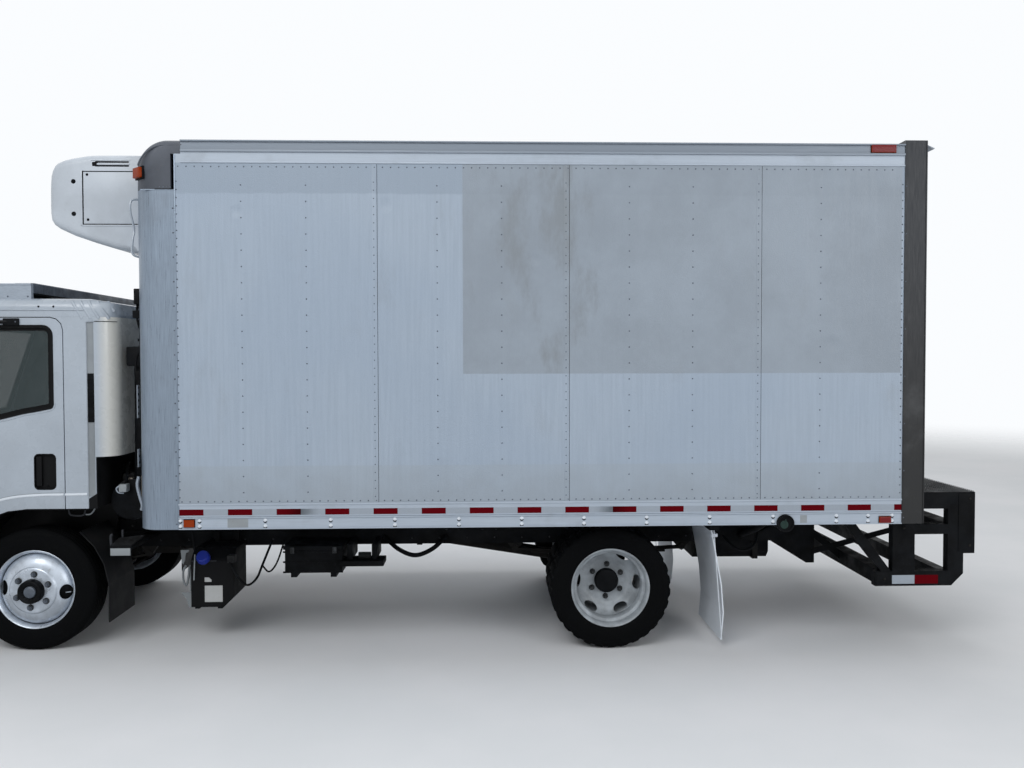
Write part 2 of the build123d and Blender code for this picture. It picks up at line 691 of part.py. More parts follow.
with BuildPart() as top_rails:
    for side in (-1, 1):
        inner = half_box - wall
        cross_section(
            [(side * y, z) for y, z in (
                (inner, panel_top + seam), (half_box, panel_top + seam), (half_box, box_top - 10),
                (half_box - 14, box_top), (inner, box_top),
            )],
            post_end + seam, frame_front - seam,
        )
        block(post_end, cap_end + seam, *sorted((side * (inner - 1), side * (half_box + 1))), rail_step, box_top + 1,
              mode=Mode.SUBTRACT)
top_rails.part.label = "top_rails"
export_step(top_rails.part, "parts/top_rails.step")

# Rear door frame: posts, header and sill
door_sill = panel_bottom
header = 110
with BuildPart() as rear_frame:
    block(frame_front, box_rear, -half_box, half_box, box_bottom, rear_frame_top)
    block(frame_front - 1, box_rear + 1, -half_box + door_frame_width, half_box - door_frame_width, door_sill,
          rear_frame_top - header, mode=Mode.SUBTRACT)
rear_frame.part.label = "rear_frame"
export_step(rear_frame.part, "parts/rear_frame.step")

# Overhead rear door: hinged panels across the opening, with a lift handle
door_thickness = 45
door_inset = 35
door_play = 3
door_height = rear_frame_top - header - door_sill
with BuildPart() as rear_door:
    pitch = (door_height - 2 * door_play) / rear_door_panels
    back = box_rear - door_inset
    block(back - door_thickness, back, -half_box + door_frame_width + door_play,
          half_box - door_frame_width - door_play, door_sill + 0.3, door_sill + door_height - door_play)
    for n in range(1, rear_door_panels):
        z = door_sill + door_play + n * pitch
        block(back - 6, back + 1, -half_box, half_box, z - 4, z + 4, mode=Mode.SUBTRACT)
    block(back, back + 28, -70, 70, door_sill + 130, door_sill + 165)
rear_door.part.label = "rear_door"
export_step(rear_door.part, "parts/rear_door.step")

# Rear platform: two side frames under the box's rear edge joined by a deck, a mid step and a low step
platform_half = 1100
deck_top = 1036
side_bar = 60
low_step_bottom, low_step_top = 414, 512
mid_step_bottom, mid_step_top = 757, 822
deck_bottom = 926
end_block_bottom = 628  # deep block closing each side of the deck
post_front, post_back = box_rear - 145, box_rear + 3
stay_front, stay_back = box_rear + 226, box_rear + 331
low_front = box_rear - 260
with BuildPart() as rear_platform:
    for side in (-1, 1):
        y0, y1 = sorted((side * platform_half, side * (platform_half - side_bar)))
        side_plate(
            [
                (low_front, low_step_bottom), (stay_back - 80, low_step_bottom), (stay_back, low_step_bottom + 80),
                (stay_back, end_block_bottom), (rear_end, end_block_bottom), (rear_end, deck_top),
                (box_rear, deck_top),
                (box_rear, deck_bottom), (stay_front, deck_bottom), (stay_front, mid_step_top),
                (post_back, mid_step_top), (post_back, box_bottom), (post_front, box_bottom),
                (post_front, low_step_top), (low_front, low_step_top),
            ],
            y0, y1,
        )
        side_plate(
            [(post_back, low_step_top), (stay_front, low_step_top), (stay_front, mid_step_bottom),
             (post_back, mid_step_bottom)],
            y0, y1, mode=Mode.SUBTRACT,
        )
        side_plate([(low_front - 150, box_bottom), (low_front - 225, box_bottom), (low_front + 40, low_step_top),
                    (low_front + 105, low_step_top)], y0, y1)
        # plate and brace from the frame's tail to the low step
        inner = sorted((side * half_frame, side * (half_frame + 14)))
        side_plate([(frame_end - 420, rail_bottom + 60), (frame_end, box_bottom),
                    (frame_end, 420), (frame_end - 60, 420)], *inner)
        side_plate([(frame_end, 600), (frame_end, 665), (low_front + 30, 510),
                    (low_front + 30, 445)], *inner)
    inside = platform_half - side_bar
    block(box_rear, rear_end, -inside, inside, deck_top - 40, deck_top)
    block(rear_end - 40, rear_end, -inside, inside, deck_bottom, deck_top - 40)
    block(stay_front, stay_back, -inside, inside, mid_step_bottom, mid_step_top)
    block(low_front + 30, low_front + 130, -inside, inside, low_step_bottom, low_step_top)
    block(stay_back - 150, stay_back - 80, -inside, inside, low_step_bottom, low_step_top)
rear_platform.part.label = "rear_platform"
export_step(rear_platform.part, "parts/rear_platform.step")

# Side and top marker lamps. columns: station, length, low, high
lamp_depth = 12
lamp_rows = ((1083, 65, 868, 913), (5526, 73, 860, 899), (5452, 158, 3236, 3284))
with BuildPart() as marker_lamps:
    for x, length, low, high in lamp_rows:
        for side in (-1, 1):
            block(x, x + length, *sorted((side * half_box, side * (half_box + lamp_depth))), low, high)
marker_lamps.part.label = "marker_lamps"
export_step(marker_lamps.part, "parts/marker_lamps.step")

# Cooling unit on the nose, with a recessed slatted grille in its face
unit_half = 950
unit_front = 145
grille_half, grille_low, grille_high, grille_depth = 720, 2850, 3080, 70
unit_outline = (
    (unit_front, 2817), (unit_front, 3102), (178, 3192), (240, 3230), (385, 3254), (box_front, 3258),
    (box_front, 2612), (700, 2622), (440, 2684), (205, 2771),
)
with BuildPart() as reefer_unit:
    side_plate(unit_outline, -unit_half, unit_half)
    fillet(reefer_unit.edges().filter_by(Axis.Z).group_by(Axis.X)[0], 60)
    block(unit_front - 1, unit_front + grille_depth, -grille_half, grille_half, grille_low, grille_high,
          mode=Mode.SUBTRACT)
reefer_unit.part.label = "reefer_unit"
export_step(reefer_unit.part, "parts/reefer_unit.step")

slats = 6
with BuildPart() as reefer_grille:
    for n in range(slats):
        z = grille_low + (n + 0.5) * (grille_high - grille_low) / slats
        side_plate([(unit_front + 6, z - 14), (unit_front + 34, z + 6), (unit_front + 34, z + 10),
                    (unit_front + 6, z - 10)], -grille_half, grille_half)
    for y in (-grille_half + 8, 0, grille_half - 8):
        block(unit_front + 30, unit_front + grille_depth, y - 8, y + 8, grille_low, grille_high)
reefer_grille.part.label = "reefer_grille"
export_step(reefer_grille.part, "parts/reefer_grille.step")

# Cab: one rounded form, hollowed and parted where the real panels meet
half_cab = cab_width / 2
arch_x = -sqrt(arch_radius ** 2 - (step_bottom - hub_z) ** 2)
arch_top = hub_z + arch_radius
rear_corner = 130
notch_x, notch_z = 443, 1290  # raised floor at the cab's rear


cab_outline = (
    (notch_x, arch_top), (notch_x, notch_z), (cab_back, notch_z), (cab_back, 2290), (400, 2321),
    (-350, cab_top), (-690, 2306), (-815, 2225), (-1120, 1440), (-1182, 1330), (-1186, 1000),
    (-1150, 690), (-885, 645), (-885, step_bottom), (arch_x, step_bottom),
    *bend(0, hub_z, arch_radius, 168, 90, 6),
)


def grown(points, amount):
    """Outline with its sides moved outwards by an amount, corners kept."""
    points = list(points)
    after = points[1:] + points[:1]
    turn = 1 if sum(a[0] * b[1] - b[0] * a[1] for a, b in zip(points, after)) > 0 else -1
    normals = []
    for (x0, y0), (x1, y1) in zip(points, after):
        length = sqrt((x1 - x0) ** 2 + (y1 - y0) ** 2) * turn
        normals.append(((y1 - y0) / length, (x0 - x1) / length))
    moved = []
    for (x, y), (ax, ay), (bx, by) in zip(points, normals[-1:] + normals[:-1], normals):
        reach = amount / (1 + ax * bx + ay * by)
        moved.append((x + reach * (ax + bx), y + reach * (ay + by)))
    return moved


def cab_form(inset):
    """The cab's outer form, drawn in by an inset."""
    half = half_cab - inset
    with BuildPart() as form:
        side_plate(grown(cab_outline, -inset), -half, half)
        sides = form.faces().filter_by(Axis.Y).edges()
        upper = sides.filter_by(lambda e: e.center().Z > 2210)
        front = sides.filter_by(lambda e: e.center().X < fx(-900) and e.center().Z > 700)
        fillet(upper + front, 66 - inset)
        for side in (-1, 1):
            with BuildSketch(Plane.XY.offset(step_bottom)) as corner:
                with BuildLine():
                    middle = (cab_back - rear_corner, half_cab - rear_corner)
                    Polyline(*[(fx(x), side * y) for x, y in (
                        (cab_back + 1, middle[1]), *bend(*middle, rear_corner - inset, 0, 90, 4),
                        (middle[0], half_cab + 1), (cab_back + 1, half_cab + 1),
                    )], close=True)
                make_face()
            extrude(corner.sketch, amount=cab_top, mode=Mode.SUBTRACT)
    return form.part


cab_shell_outer = cab_form(0)
cab_shell_inner = cab_form(cab_skin)
with BuildPart() as cab_shell:
    add(cab_shell_outer)
    add(cab_shell_inner, mode=Mode.SUBTRACT)

# Side outlines of the door and of its window
door_low = 720
door_outline = (
    (door_front, door_low), (door_front, 1400), (door_front + 300, door_top),
    *bend(door_rear - 80, door_top - 80, 80, 90, 0, 3), (door_rear, 400), (arch_x + 96, 400),
    (arch_x + 96, door_low),
)
window_outline = (
    (door_front + 70, 1490), (door_front + 310, 2145), *bend(115, 2082, 65, 90, 0, 3), (180, 1632), (158, 1606),
    (-14, 1574), (-174, 1535),
)

opening_outline = grown(door_outline, door_gap)
roof_line = door_top + door_gap
floor_half = half_cab - cab_skin - door_gap
floor_top = arch_top + cab_skin
floor_front = -1100
wheel_side = arch_x + 90

with BuildPart() as cab_roof:
    add(cab_shell.part)
    block(-1300, cab_back, -half_cab, half_cab, roof_line, cab_top, mode=Mode.INTERSECT)
cab_roof.part.label = "cab_roof"
export_step(cab_roof.part, "parts/cab_roof.step")

rear_window = (-520, 520, 1640, 2060)
recess_x, recess_depth, recess_top = 393, 12, 2170
with BuildPart() as cab_rear:
    add(cab_shell.part)
    block(0, cab_back, -half_cab, half_cab, arch_top, roof_line - seam, mode=Mode.INTERSECT)
    side_plate(opening_outline, -half_cab, half_cab, mode=Mode.SUBTRACT)
    block(-1, cab_back - cab_skin, -half_cab + cab_skin, half_cab - cab_skin, arch_top, floor_top,
          mode=Mode.SUBTRACT)
    block(cab_back - 100, cab_back + 1, *rear_window, mode=Mode.SUBTRACT)
    for side in (-1, 1):
        block(recess_x, notch_x, *sorted((side * (half_cab - recess_depth), side * (half_cab + 1))), arch_top - 1,
              recess_top, mode=Mode.SUBTRACT)
cab_rear.part.label = "cab_rear"
export_step(cab_rear.part, "parts/cab_rear.step")

screen_section = ((-850, 1500), (850, 1500), (800, 2170), (-800, 2170))
with BuildPart() as cab_front:
    add(cab_shell.part)
    block(-1300, 0, -half_cab, half_cab, step_bottom, roof_line - seam, mode=Mode.INTERSECT)
    side_plate(opening_outline, -half_cab, half_cab, mode=Mode.SUBTRACT)
    block(floor_front - seam, cab_back, -half_cab + cab_skin, half_cab - cab_skin, step_bottom, floor_top,
          mode=Mode.SUBTRACT)
    block(door_front - door_gap, cab_back, -half_cab, half_cab, step_bottom - 1, door_low - door_gap,
          mode=Mode.SUBTRACT)
    cross_section(screen_section, -1300, -600, mode=Mode.SUBTRACT)
    for side in (-1, 1):
        for z in hinge_heights:
            tall = 2.5 * hinge_half
            block(hinge_x - hinge_reach, hinge_x, *sorted((side * half_cab, side * (half_cab + hinge_leaf))),
                  z - tall, z + tall)
            y = side * (half_cab + hinge_out)
            upright(hinge_x, y, z - tall, z + tall, hinge_barrel, flats=8)
            upright(hinge_x, y, z - hinge_half - fit_gap, z + hinge_half + fit_gap, hinge_barrel + 2,
                    mode=Mode.SUBTRACT, flats=8)
            upright(hinge_x, y, z - tall, z + tall, hinge_pin, flats=8, inscribed=True)
cab_front.part.label = "cab_front"
export_step(cab_front.part, "parts/cab_front.step")

# Cab floor: pan, wheel arches and step wells, engine hump, hinge arms round the tilt tube
beam_low = rail_top + 27
step_deep = 190
arm_y_tilt, arm_width, arm_radius = 250, 60, 44
with BuildPart() as floor_region:
    block(floor_front, cab_back - cab_skin - seam, -floor_half, floor_half, step_bottom, floor_top - seam)
    block(-890, wheel_side, -half_cab, half_cab, step_bottom, door_low - 2 * door_gap)
with BuildPart() as cab_floor:
    add(cab_shell.part)
    add(floor_region.part, mode=Mode.INTERSECT)
    block(-885, arch_x + 60, -half_cab + step_deep + cab_skin, half_cab - step_deep - cab_skin, 0, 640,
          mode=Mode.SUBTRACT)
    for side in (-1, 1):
        block(-885 + cab_skin, arch_x - 4, *sorted((side * (half_cab - step_deep - cab_skin),
              side * (half_cab - step_deep))), step_bottom + cab_skin - 1, 700)
    block(floor_front, hump_back, -hump_half, hump_half, 660, hump_top)
    block(floor_front + hump_wall, hump_back - hump_wall, -hump_half + hump_wall, hump_half - hump_wall, 0,
          hump_top - hump_wall, mode=Mode.SUBTRACT)
    block(floor_front - 1, floor_front + hump_wall, -hump_half + hump_wall, hump_half - hump_wall, 0,
          beam_low, mode=Mode.SUBTRACT)
    block(hump_back - hump_wall - 1, hump_back + 1, -hump_half, hump_half, 0, arch_top, mode=Mode.SUBTRACT)
    block(floor_front, floor_front + 70, -hump_half + hump_wall, hump_half - hump_wall, beam_low, beam_low + 60)
    for side in (-1, 1):
        y0, y1 = side * arm_y_tilt - arm_width / 2, side * arm_y_tilt + arm_width / 2
        block(tilt_x - 30, tilt_x + 30, y0, y1, tilt_z, beam_low)
        cross_tube(tilt_x, tilt_z, arm_radius, y0, y1, flats=12)
        cross_tube(tilt_x, tilt_z, tilt_tube_radius + steer_fit, y0, y1, mode=Mode.SUBTRACT,
                   flats=0 if side < 0 else 12)
cab_floor.part.label = "cab_floor"
export_step(cab_floor.part, "parts/cab_floor.step")

# Glass: thin panes in the windscreen and rear window openings
glass_inset, glass_thickness, glass_play = 14, 6, 0.4
glass_outer = cab_form(glass_inset)
glass_inner = cab_form(glass_inset + glass_thickness)
with BuildPart() as cab_glass:
    add(glass_outer)
    add(glass_inner, mode=Mode.SUBTRACT)
    with BuildPart(mode=Mode.PRIVATE) as panes:
        play = glass_play
        cross_section([(-850 + play, 1500 + play), (850 - play, 1500 + play), (800 - play, 2170 - play),
                       (-800 + play, 2170 - play)], -1300, -600)
        block(cab_back - 100, cab_back, rear_window[0] + play, rear_window[1] - play, rear_window[2] + play,
              rear_window[3] - play)
    add(panes.part, mode=Mode.INTERSECT)
cab_glass.part.label = "cab_glass"
export_step(cab_glass.part, "parts/cab_glass.step")

# Doors with their window openings, panes and mirrors
mirror_x, mirror_y, mirror_low, mirror_high = -640, half_cab + 190, 1480, 2000
for side, name in ((-1, "left"), (1, "right")):
    with BuildPart() as door:
        add(cab_shell.part)
        block(-1000, door_rear, *sorted((side * (half_cab - cab_skin), side * half_cab)), step_bottom, door_top,
              mode=Mode.INTERSECT)
        side_plate(door_outline, -half_cab, half_cab, mode=Mode.INTERSECT)
        side_plate(window_outline, -half_cab, half_cab, mode=Mode.SUBTRACT)
        # recessed handle
        block(52, 190, *sorted((side * (half_cab - 22), side * (half_cab + 1))), 1080, 1312, mode=Mode.SUBTRACT)
        block(66, 92, *sorted((side * (half_cab - 22), side * (half_cab - 2))), 1110, 1290)
        for z in hinge_heights:
            block(hinge_x, hinge_x + hinge_reach, *sorted((side * half_cab, side * (half_cab + hinge_leaf))),
                  z - hinge_half, z + hinge_half)
            y = side * (half_cab + hinge_out)
            upright(hinge_x, y, z - hinge_half, z + hinge_half, hinge_barrel, flats=8)
            upright(hinge_x, y, z - hinge_half, z + hinge_half, hinge_pin + fit_gap, mode=Mode.SUBTRACT,
                    flats=0 if z == hinge_heights[0] else 8)
    door.part.label = f"door_{name}"
    export_step(door.part, f"parts/door_{name}.step")

    with BuildPart() as door_glass:
        y = half_cab - glass_inset
        side_plate(grown(window_outline, -glass_play), *sorted((side * y, side * (y - glass_thickness))))
    door_glass.part.label = f"door_glass_{name}"
    export_step(door_glass.part, f"parts/door_glass_{name}.step")

    with BuildPart() as mirror:
        y0, y1 = sorted((side * mirror_y, side * (mirror_y + 230)))
        block(mirror_x - 40, mirror_x + 40, y0, y1, mirror_low, mirror_high)
        chamfer(mirror.edges().filter_by(Axis.X), 35)
        chamfer(mirror.edges().group_by(Axis.X)[0], 22)
        for path in (
            [(mirror_x, mirror_y + 20, mirror_high - 60), (-380, mirror_y - 60, 2168), (-90, half_cab, 2168)],
            [(mirror_x, mirror_y + 20, mirror_low + 60), (mirror_x - 60, mirror_y - 90, 1430),
             (door_front + 120, half_cab, 1430)],
        ):
            points = [(fx(x), side * w, z) for x, w, z in path]
            with BuildLine() as tube_path:
                Polyline(*points)
            with BuildSketch(Plane(origin=points[-1], z_dir=tube_path.line % 1)) as tube_end:
                RegularPolygon(13, 6)
            sweep(tube_end.sketch, path=tube_path.line, transition=Transition.RIGHT)
        block(-1000, 300, *sorted((0, side * half_cab)), 400, 2300, mode=Mode.SUBTRACT)
    mirror.part.label = f"mirror_{name}"
    export_step(mirror.part, f"parts/mirror_{name}.step")

# Seats: driver and double passenger, cushion and back on the floor either side of the hump
with BuildPart() as seats:
    for y0, y1 in ((-880, -400), (-340, 880)):
        block(-280, 240, y0, y1, hump_top + 2, hump_top + 180)
        side_plate([(230, hump_top + 100), (330, hump_top + 100), (450, 1960), (360, 1980)], y0, y1)
    for y0, y1 in ((-880, -hump_half - 8), (hump_half + 8, 880)):
        block(-240, 220, y0, y1, floor_top, hump_top + 2)
seats.part.label = "seats"
export_step(seats.part, "parts/seats.step")

# Dashboard with the steering column and wheel
wheel_centre, wheel_tilt, wheel_radius = (-620, -560, 1480), 35, 225
with BuildPart() as dashboard:
    side_plate([(-1068, hump_top + fit_gap), (-860, hump_top + fit_gap), (-770, 1290), (-860, 1450), (-1045, 1455)], -940, 940)
    column = Plane(origin=(fx(wheel_centre[0]), wheel_centre[1], wheel_centre[2]), x_dir=(0, 1, 0),
                   z_dir=(sin(radians(wheel_tilt)), 0, cos(radians(wheel_tilt))))
    for radius, hole, thick in ((wheel_radius, wheel_radius - 26, 26), (50, 0, 40)):
        with BuildSketch(column.offset(-thick / 2)) as rim_outline:
            RegularPolygon(radius, 16)
            if hole:
                RegularPolygon(hole, 16, mode=Mode.SUBTRACT)
        extrude(rim_outline.sketch, amount=thick)
    for angle in (20, 160, 270):
        with BuildSketch(column.offset(-8)) as spoke:
            with Locations(Location((0, 0), angle)):
                with Locations((105, 0)):
                    Rectangle(210, 34)
        extrude(spoke.sketch, amount=16)
    with BuildSketch(column) as shaft:
        RegularPolygon(24, 8)
    extrude(shaft.sketch, amount=-300)
dashboard.part.label = "dashboard"
export_step(dashboard.part, "parts/dashboard.step")

# Headlamps on the cab's front corners
with BuildPart() as headlamps:
    for side in (-1, 1):
        lens = [(760 + y, 880 + z) for y, z in (
            (-160, -65), (-130, -95), (130, -95), (160, -65), (160, 65), (130, 95), (-130, 95), (-160, 65),
        )]
        cross_section([(side * y, z) for y, z in lens], -1200, -1160)
    add(cab_shell_outer, mode=Mode.SUBTRACT)
headlamps.part.label = "headlamps"
export_step(headlamps.part, "parts/headlamps.step")

# Roof deflector: side plates and a ribbed rear bar on the cab roof
deflector_rear, deflector_height, deflector_half = 30, 2420, 960
with BuildPart() as roof_deflector:
    for side in (-1, 1):
        side_plate([(deflector_rear - 420, 2300), (deflector_rear, 2300), (deflector_rear, deflector_height),
                    (deflector_rear - 330, deflector_height)],
                   *sorted((side * deflector_half, side * (deflector_half - 30))))
    block(deflector_rear - 120, deflector_rear, -deflector_half + 30, deflector_half - 30, deflector_height - 70,
          deflector_height)
    side_plate([(deflector_rear - 420, 2330), (deflector_rear - 120, deflector_height - 8),
                (deflector_rear - 120, deflector_height), (deflector_rear - 426, 2336)],
               -deflector_half + 30, deflector_half - 30)
    add(cab_shell_outer, mode=Mode.SUBTRACT)
roof_deflector.part.label = "roof_deflector"
export_step(roof_deflector.part, "parts/roof_deflector.step")
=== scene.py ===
"""Looks of the refrigerated truck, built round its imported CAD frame.

Metres, +X to the rear, +Y to the truck's right, +Z up. Helper functions take millimetres: a station
behind the front axle, a width and a height.
"""

from math import atan2, cos, exp, hypot, pi, radians, sin, sqrt

import bmesh
import bpy
import numpy as np
from mathutils import Matrix, Vector


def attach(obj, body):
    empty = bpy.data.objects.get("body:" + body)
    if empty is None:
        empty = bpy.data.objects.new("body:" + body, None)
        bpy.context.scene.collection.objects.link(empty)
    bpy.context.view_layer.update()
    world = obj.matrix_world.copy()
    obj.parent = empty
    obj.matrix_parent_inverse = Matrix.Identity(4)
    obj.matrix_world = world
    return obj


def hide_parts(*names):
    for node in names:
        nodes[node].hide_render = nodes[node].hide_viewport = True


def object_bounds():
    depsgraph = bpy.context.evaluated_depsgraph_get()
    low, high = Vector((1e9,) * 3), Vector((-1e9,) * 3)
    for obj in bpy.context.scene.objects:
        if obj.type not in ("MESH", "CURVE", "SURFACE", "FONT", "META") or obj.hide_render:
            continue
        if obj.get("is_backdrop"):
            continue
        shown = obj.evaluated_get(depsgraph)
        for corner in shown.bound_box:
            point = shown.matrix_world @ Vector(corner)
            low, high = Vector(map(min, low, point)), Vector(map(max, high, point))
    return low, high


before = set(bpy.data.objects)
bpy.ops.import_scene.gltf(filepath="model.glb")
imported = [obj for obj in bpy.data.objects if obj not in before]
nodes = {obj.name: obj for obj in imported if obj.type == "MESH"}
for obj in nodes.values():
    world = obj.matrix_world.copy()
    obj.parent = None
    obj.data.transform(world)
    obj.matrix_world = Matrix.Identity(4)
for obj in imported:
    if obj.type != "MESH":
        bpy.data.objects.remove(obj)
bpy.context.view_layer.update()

FRONT_AXLE = -2498
WHEELBASE = 3810
HUB = 403
HALF_BOX = 1219
BOX_FRONT, BOX_REAR = 777, 5819
POST_END, FRAME_FRONT = 1049, 5674
CAP_END, CAP_LOW, STEP = 1087, 2986, 3205
PANEL_LOW, PANEL_HIGH = 1013, 3149
BOX_LOW, BOX_TOP = 851, 3295
RAIL_LIP = 927
HALF_CAB = 1000
SIDES = ((-1, "left"), (1, "right"))
X, Y, Z = Vector((1, 0, 0)), Vector((0, 1, 0)), Vector((0, 0, 1))


def place(station, y, z):
    """Point in metres of a station, width and height in millimetres."""
    return Vector(((FRONT_AXLE + station) / 1000, y / 1000, z / 1000))


def arc(x, z, radius, start, end, steps=12):
    """Points round an arc between two angles in degrees."""
    turns = [radians(start + (end - start) * n / steps) for n in range(steps + 1)]
    return [(x + radius * cos(t), z + radius * sin(t)) for t in turns]


def circle(centre, a, b, radius, sides):
    """Points in metres round a centre, in the plane of two unit vectors, from a radius in millimetres."""
    return [centre + (a * cos(t) + b * sin(t)) * radius / 1000
            for t in np.linspace(0, 2 * pi, sides, endpoint=False)]


# Camera and light


def make_camera():
    """The photo's camera, as fitted to it: turns in radians, place in metres, focal length in pixels."""
    yaw, pitch, roll = 0.03329, -0.02815, -0.00208
    where, focal, photo_width = (0.4678, -6.8036, 1.921), 880.04, 1024
    level, right = Vector((sin(yaw), cos(yaw), 0)), Vector((cos(yaw), -sin(yaw), 0))
    ahead = level * cos(pitch) + Z * sin(pitch)
    above = Z * cos(pitch) - level * sin(pitch)
    across = right * cos(roll) + above * sin(roll)
    above = above * cos(roll) - right * sin(roll)
    data = bpy.data.cameras.new("view")
    data.sensor_width = 36
    data.lens = focal / photo_width * data.sensor_width
    data.clip_start, data.clip_end = 0.1, 200
    camera = bpy.data.objects.new("view", data)
    camera.matrix_world = Matrix.Translation(where) @ Matrix((across, above, -ahead)).transposed().to_4x4()
    bpy.context.scene.collection.objects.link(camera)
    bpy.context.scene.camera = camera


def softbox(name, where, aim, size, power):
    data = bpy.data.lights.new(name, "AREA")
    data.shape, data.size, data.size_y, data.energy = "RECTANGLE", *size, power
    lamp = bpy.data.objects.new(name, data)
    lamp.location = where
    lamp.rotation_euler = (Vector(aim) - Vector(where)).to_track_quat("-Z", "Y").to_euler()
    bpy.context.scene.collection.objects.link(lamp)


def make_world(ambient):
    """White studio that shows at full strength to the eye and lights the truck more weakly."""
    world = bpy.data.worlds.new("studio")
    bpy.context.scene.world = world
    world.use_nodes = True
    tree = world.node_tree
    path = tree.nodes.new("ShaderNodeLightPath")
    seen = path.outputs["Is Camera Ray"]
    for ray in ("Is Glossy Ray", "Is Transmission Ray"):
        either = tree.nodes.new("ShaderNodeMath")
        either.operation = "MAXIMUM"
        tree.links.new(seen, either.inputs[0])
        tree.links.new(path.outputs[ray], either.inputs[1])
        seen = either.outputs[0]
    strength = tree.nodes.new("ShaderNodeMapRange")
    strength.inputs["To Min"].default_value = ambient
    strength.inputs["To Max"].default_value = 1
    tree.links.new(seen, strength.inputs["Value"])
    tree.links.new(strength.outputs[0], tree.nodes["Background"].inputs["Strength"])
    tree.nodes["Background"].inputs["Color"].default_value = (0.96, 0.98, 1, 1)


bpy.context.scene.view_settings.view_transform = "Standard"
make_camera()
make_world(0.42)
softbox("key", (-3.5, -9, 8.5), (0, 0, 1), (7, 5), 500)
softbox("side", (6.5, -8, 4), (1, 0, 1.2), (5, 4), 150)
softbox("top", (0, 1, 11), (0, 0, 2), (9, 5), 340)
softbox("back", (3, 10, 6), (0, 0, 1.5), (8, 4), 260)


# Materials. Colours are screen values from 0 to 255.


def linear(rgb):
    """Shader colour of a screen colour."""
    return tuple(((v / 255 + 0.055) / 1.055) ** 2.4 if v > 10 else v / 255 / 12.92 for v in rgb) + (1,)


def scaled(colour, factor, lift=0.0):
    """Screen colour as a shader colour that is made darker or paler."""
    return tuple(min(1, c * factor + lift) for c in linear(colour)[:3]) + (1,)


class Finish:
    """A material under construction: one principled shader and the nodes that drive it."""

    def __init__(self, name, **sockets):
        self.material = bpy.data.materials.new(name)
        self.material.use_nodes = True
        self.tree = self.material.node_tree
        self.shader = self.tree.nodes["Principled BSDF"]
        self.place = self.add("ShaderNodeTexCoord").outputs["Object"]
        for socket, value in sockets.items():
            self.shader.inputs[socket.replace("_", " ")].default_value = value

    def add(self, kind, inputs=None, **settings):
        node = self.tree.nodes.new(kind)
        for key, value in settings.items():
            setattr(node, key, value)
        for key, value in (inputs or {}).items():
            if isinstance(value, bpy.types.NodeSocket):
                self.tree.links.new(value, node.inputs[key])
            else:
                node.inputs[key].default_value = value
        return node

    def noise(self, scale, detail=4, rough=0.55, stretch=None):
        vector = self.place
        if stretch:
            vector = self.add("ShaderNodeMapping", {"Vector": vector, "Scale": stretch}).outputs[0]
        inputs = {"Vector": vector, "Scale": scale, "Detail": detail, "Roughness": rough}
        return self.add("ShaderNodeTexNoise", inputs).outputs["Fac"]

    def spread(self, value, low, high, to_low=0.0, to_high=1.0):
        """Value between low and high brought to another range and held there."""
        inputs = {"Value": value, "From Min": low, "From Max": high, "To Min": to_low, "To Max": to_high}
        return self.add("ShaderNodeMapRange", inputs, interpolation_type="SMOOTHSTEP").outputs[0]

    def maths(self, operation, a, b=0.0):
        return self.add("ShaderNodeMath", {0: a, 1: b}, operation=operation).outputs[0]

    def plus(self, value, other, factor):
        return self.maths("ADD", value, self.maths("MULTIPLY", other, factor))

    def axis(self, name):
        return self.add("ShaderNodeSeparateXYZ", {"Vector": self.place}).outputs[name]

    def mix(self, factor, a, b):
        """Blend of two colours, each a socket, a shader colour or a screen colour."""
        node = self.add("ShaderNodeMix", data_type="RGBA")
        for socket, value in zip((node.inputs[0], node.inputs[6], node.inputs[7]), (factor, a, b)):
            if isinstance(value, bpy.types.NodeSocket):
                self.tree.links.new(value, socket)
            else:
                socket.default_value = linear(value) if isinstance(value, tuple) and len(value) == 3 else value
        return node.outputs[2]

    def blend(self, value, low, high, a, b, most=1.0):
        """Goes from one colour towards another, most of the way at the most, as value goes from low to high."""
        return self.mix(self.spread(value, low, high, 0, most), a, b)

    def to(self, socket, value):
        self.tree.links.new(value, self.shader.inputs[socket])

    def done(self, colour, rough, height, strength, distance=0.001):
        """Material with this colour, roughness and bump."""
        self.to("Base Color", colour)
        self.to("Roughness", rough)
        bump = self.add("ShaderNodeBump", {"Height": height, "Strength": strength, "Distance": distance})
        self.to("Normal", bump.outputs[0])
        return self.material


def painted(name, colour, rough=0.4, metal=0.0, vary=0.06, scale=2.5, coat=0.0, orange_peel=0.08, grime=0.0,
            low_grime=None, shine=0.5, over=None):
    """Painted or bare metal: cloudy colour, fine surface texture, dirt in the low parts."""
    f = Finish(name, Metallic=metal, Coat_Weight=coat, Coat_Roughness=0.12, Specular_IOR_Level=shine)
    out = f.blend(f.noise(scale, 6, 0.6), 0.35, 0.65, scaled(colour, 1 - 2.2 * vary), scaled(colour, 1 + vary))
    if grime:
        dirt = (96, 90, 80) if max(colour) > 80 else tuple(24 + 1.1 * c for c in colour)
        out = f.blend(f.noise(42, 5, 0.7), 0.56, 0.75, out, dirt, grime)
    if low_grime:
        low, high, amount = low_grime
        out = f.mix(f.spread(f.plus(f.axis("Z"), f.noise(7, 5), -0.35), low, high, amount, 0), out, (88, 82, 74))
    if over:
        out = over(f, out)
    worn = f.spread(f.noise(9, 5), 0.3, 0.7, rough * 0.8, min(1, rough * 1.25))
    return f.done(out, worn, f.noise(180, 2), orange_peel)


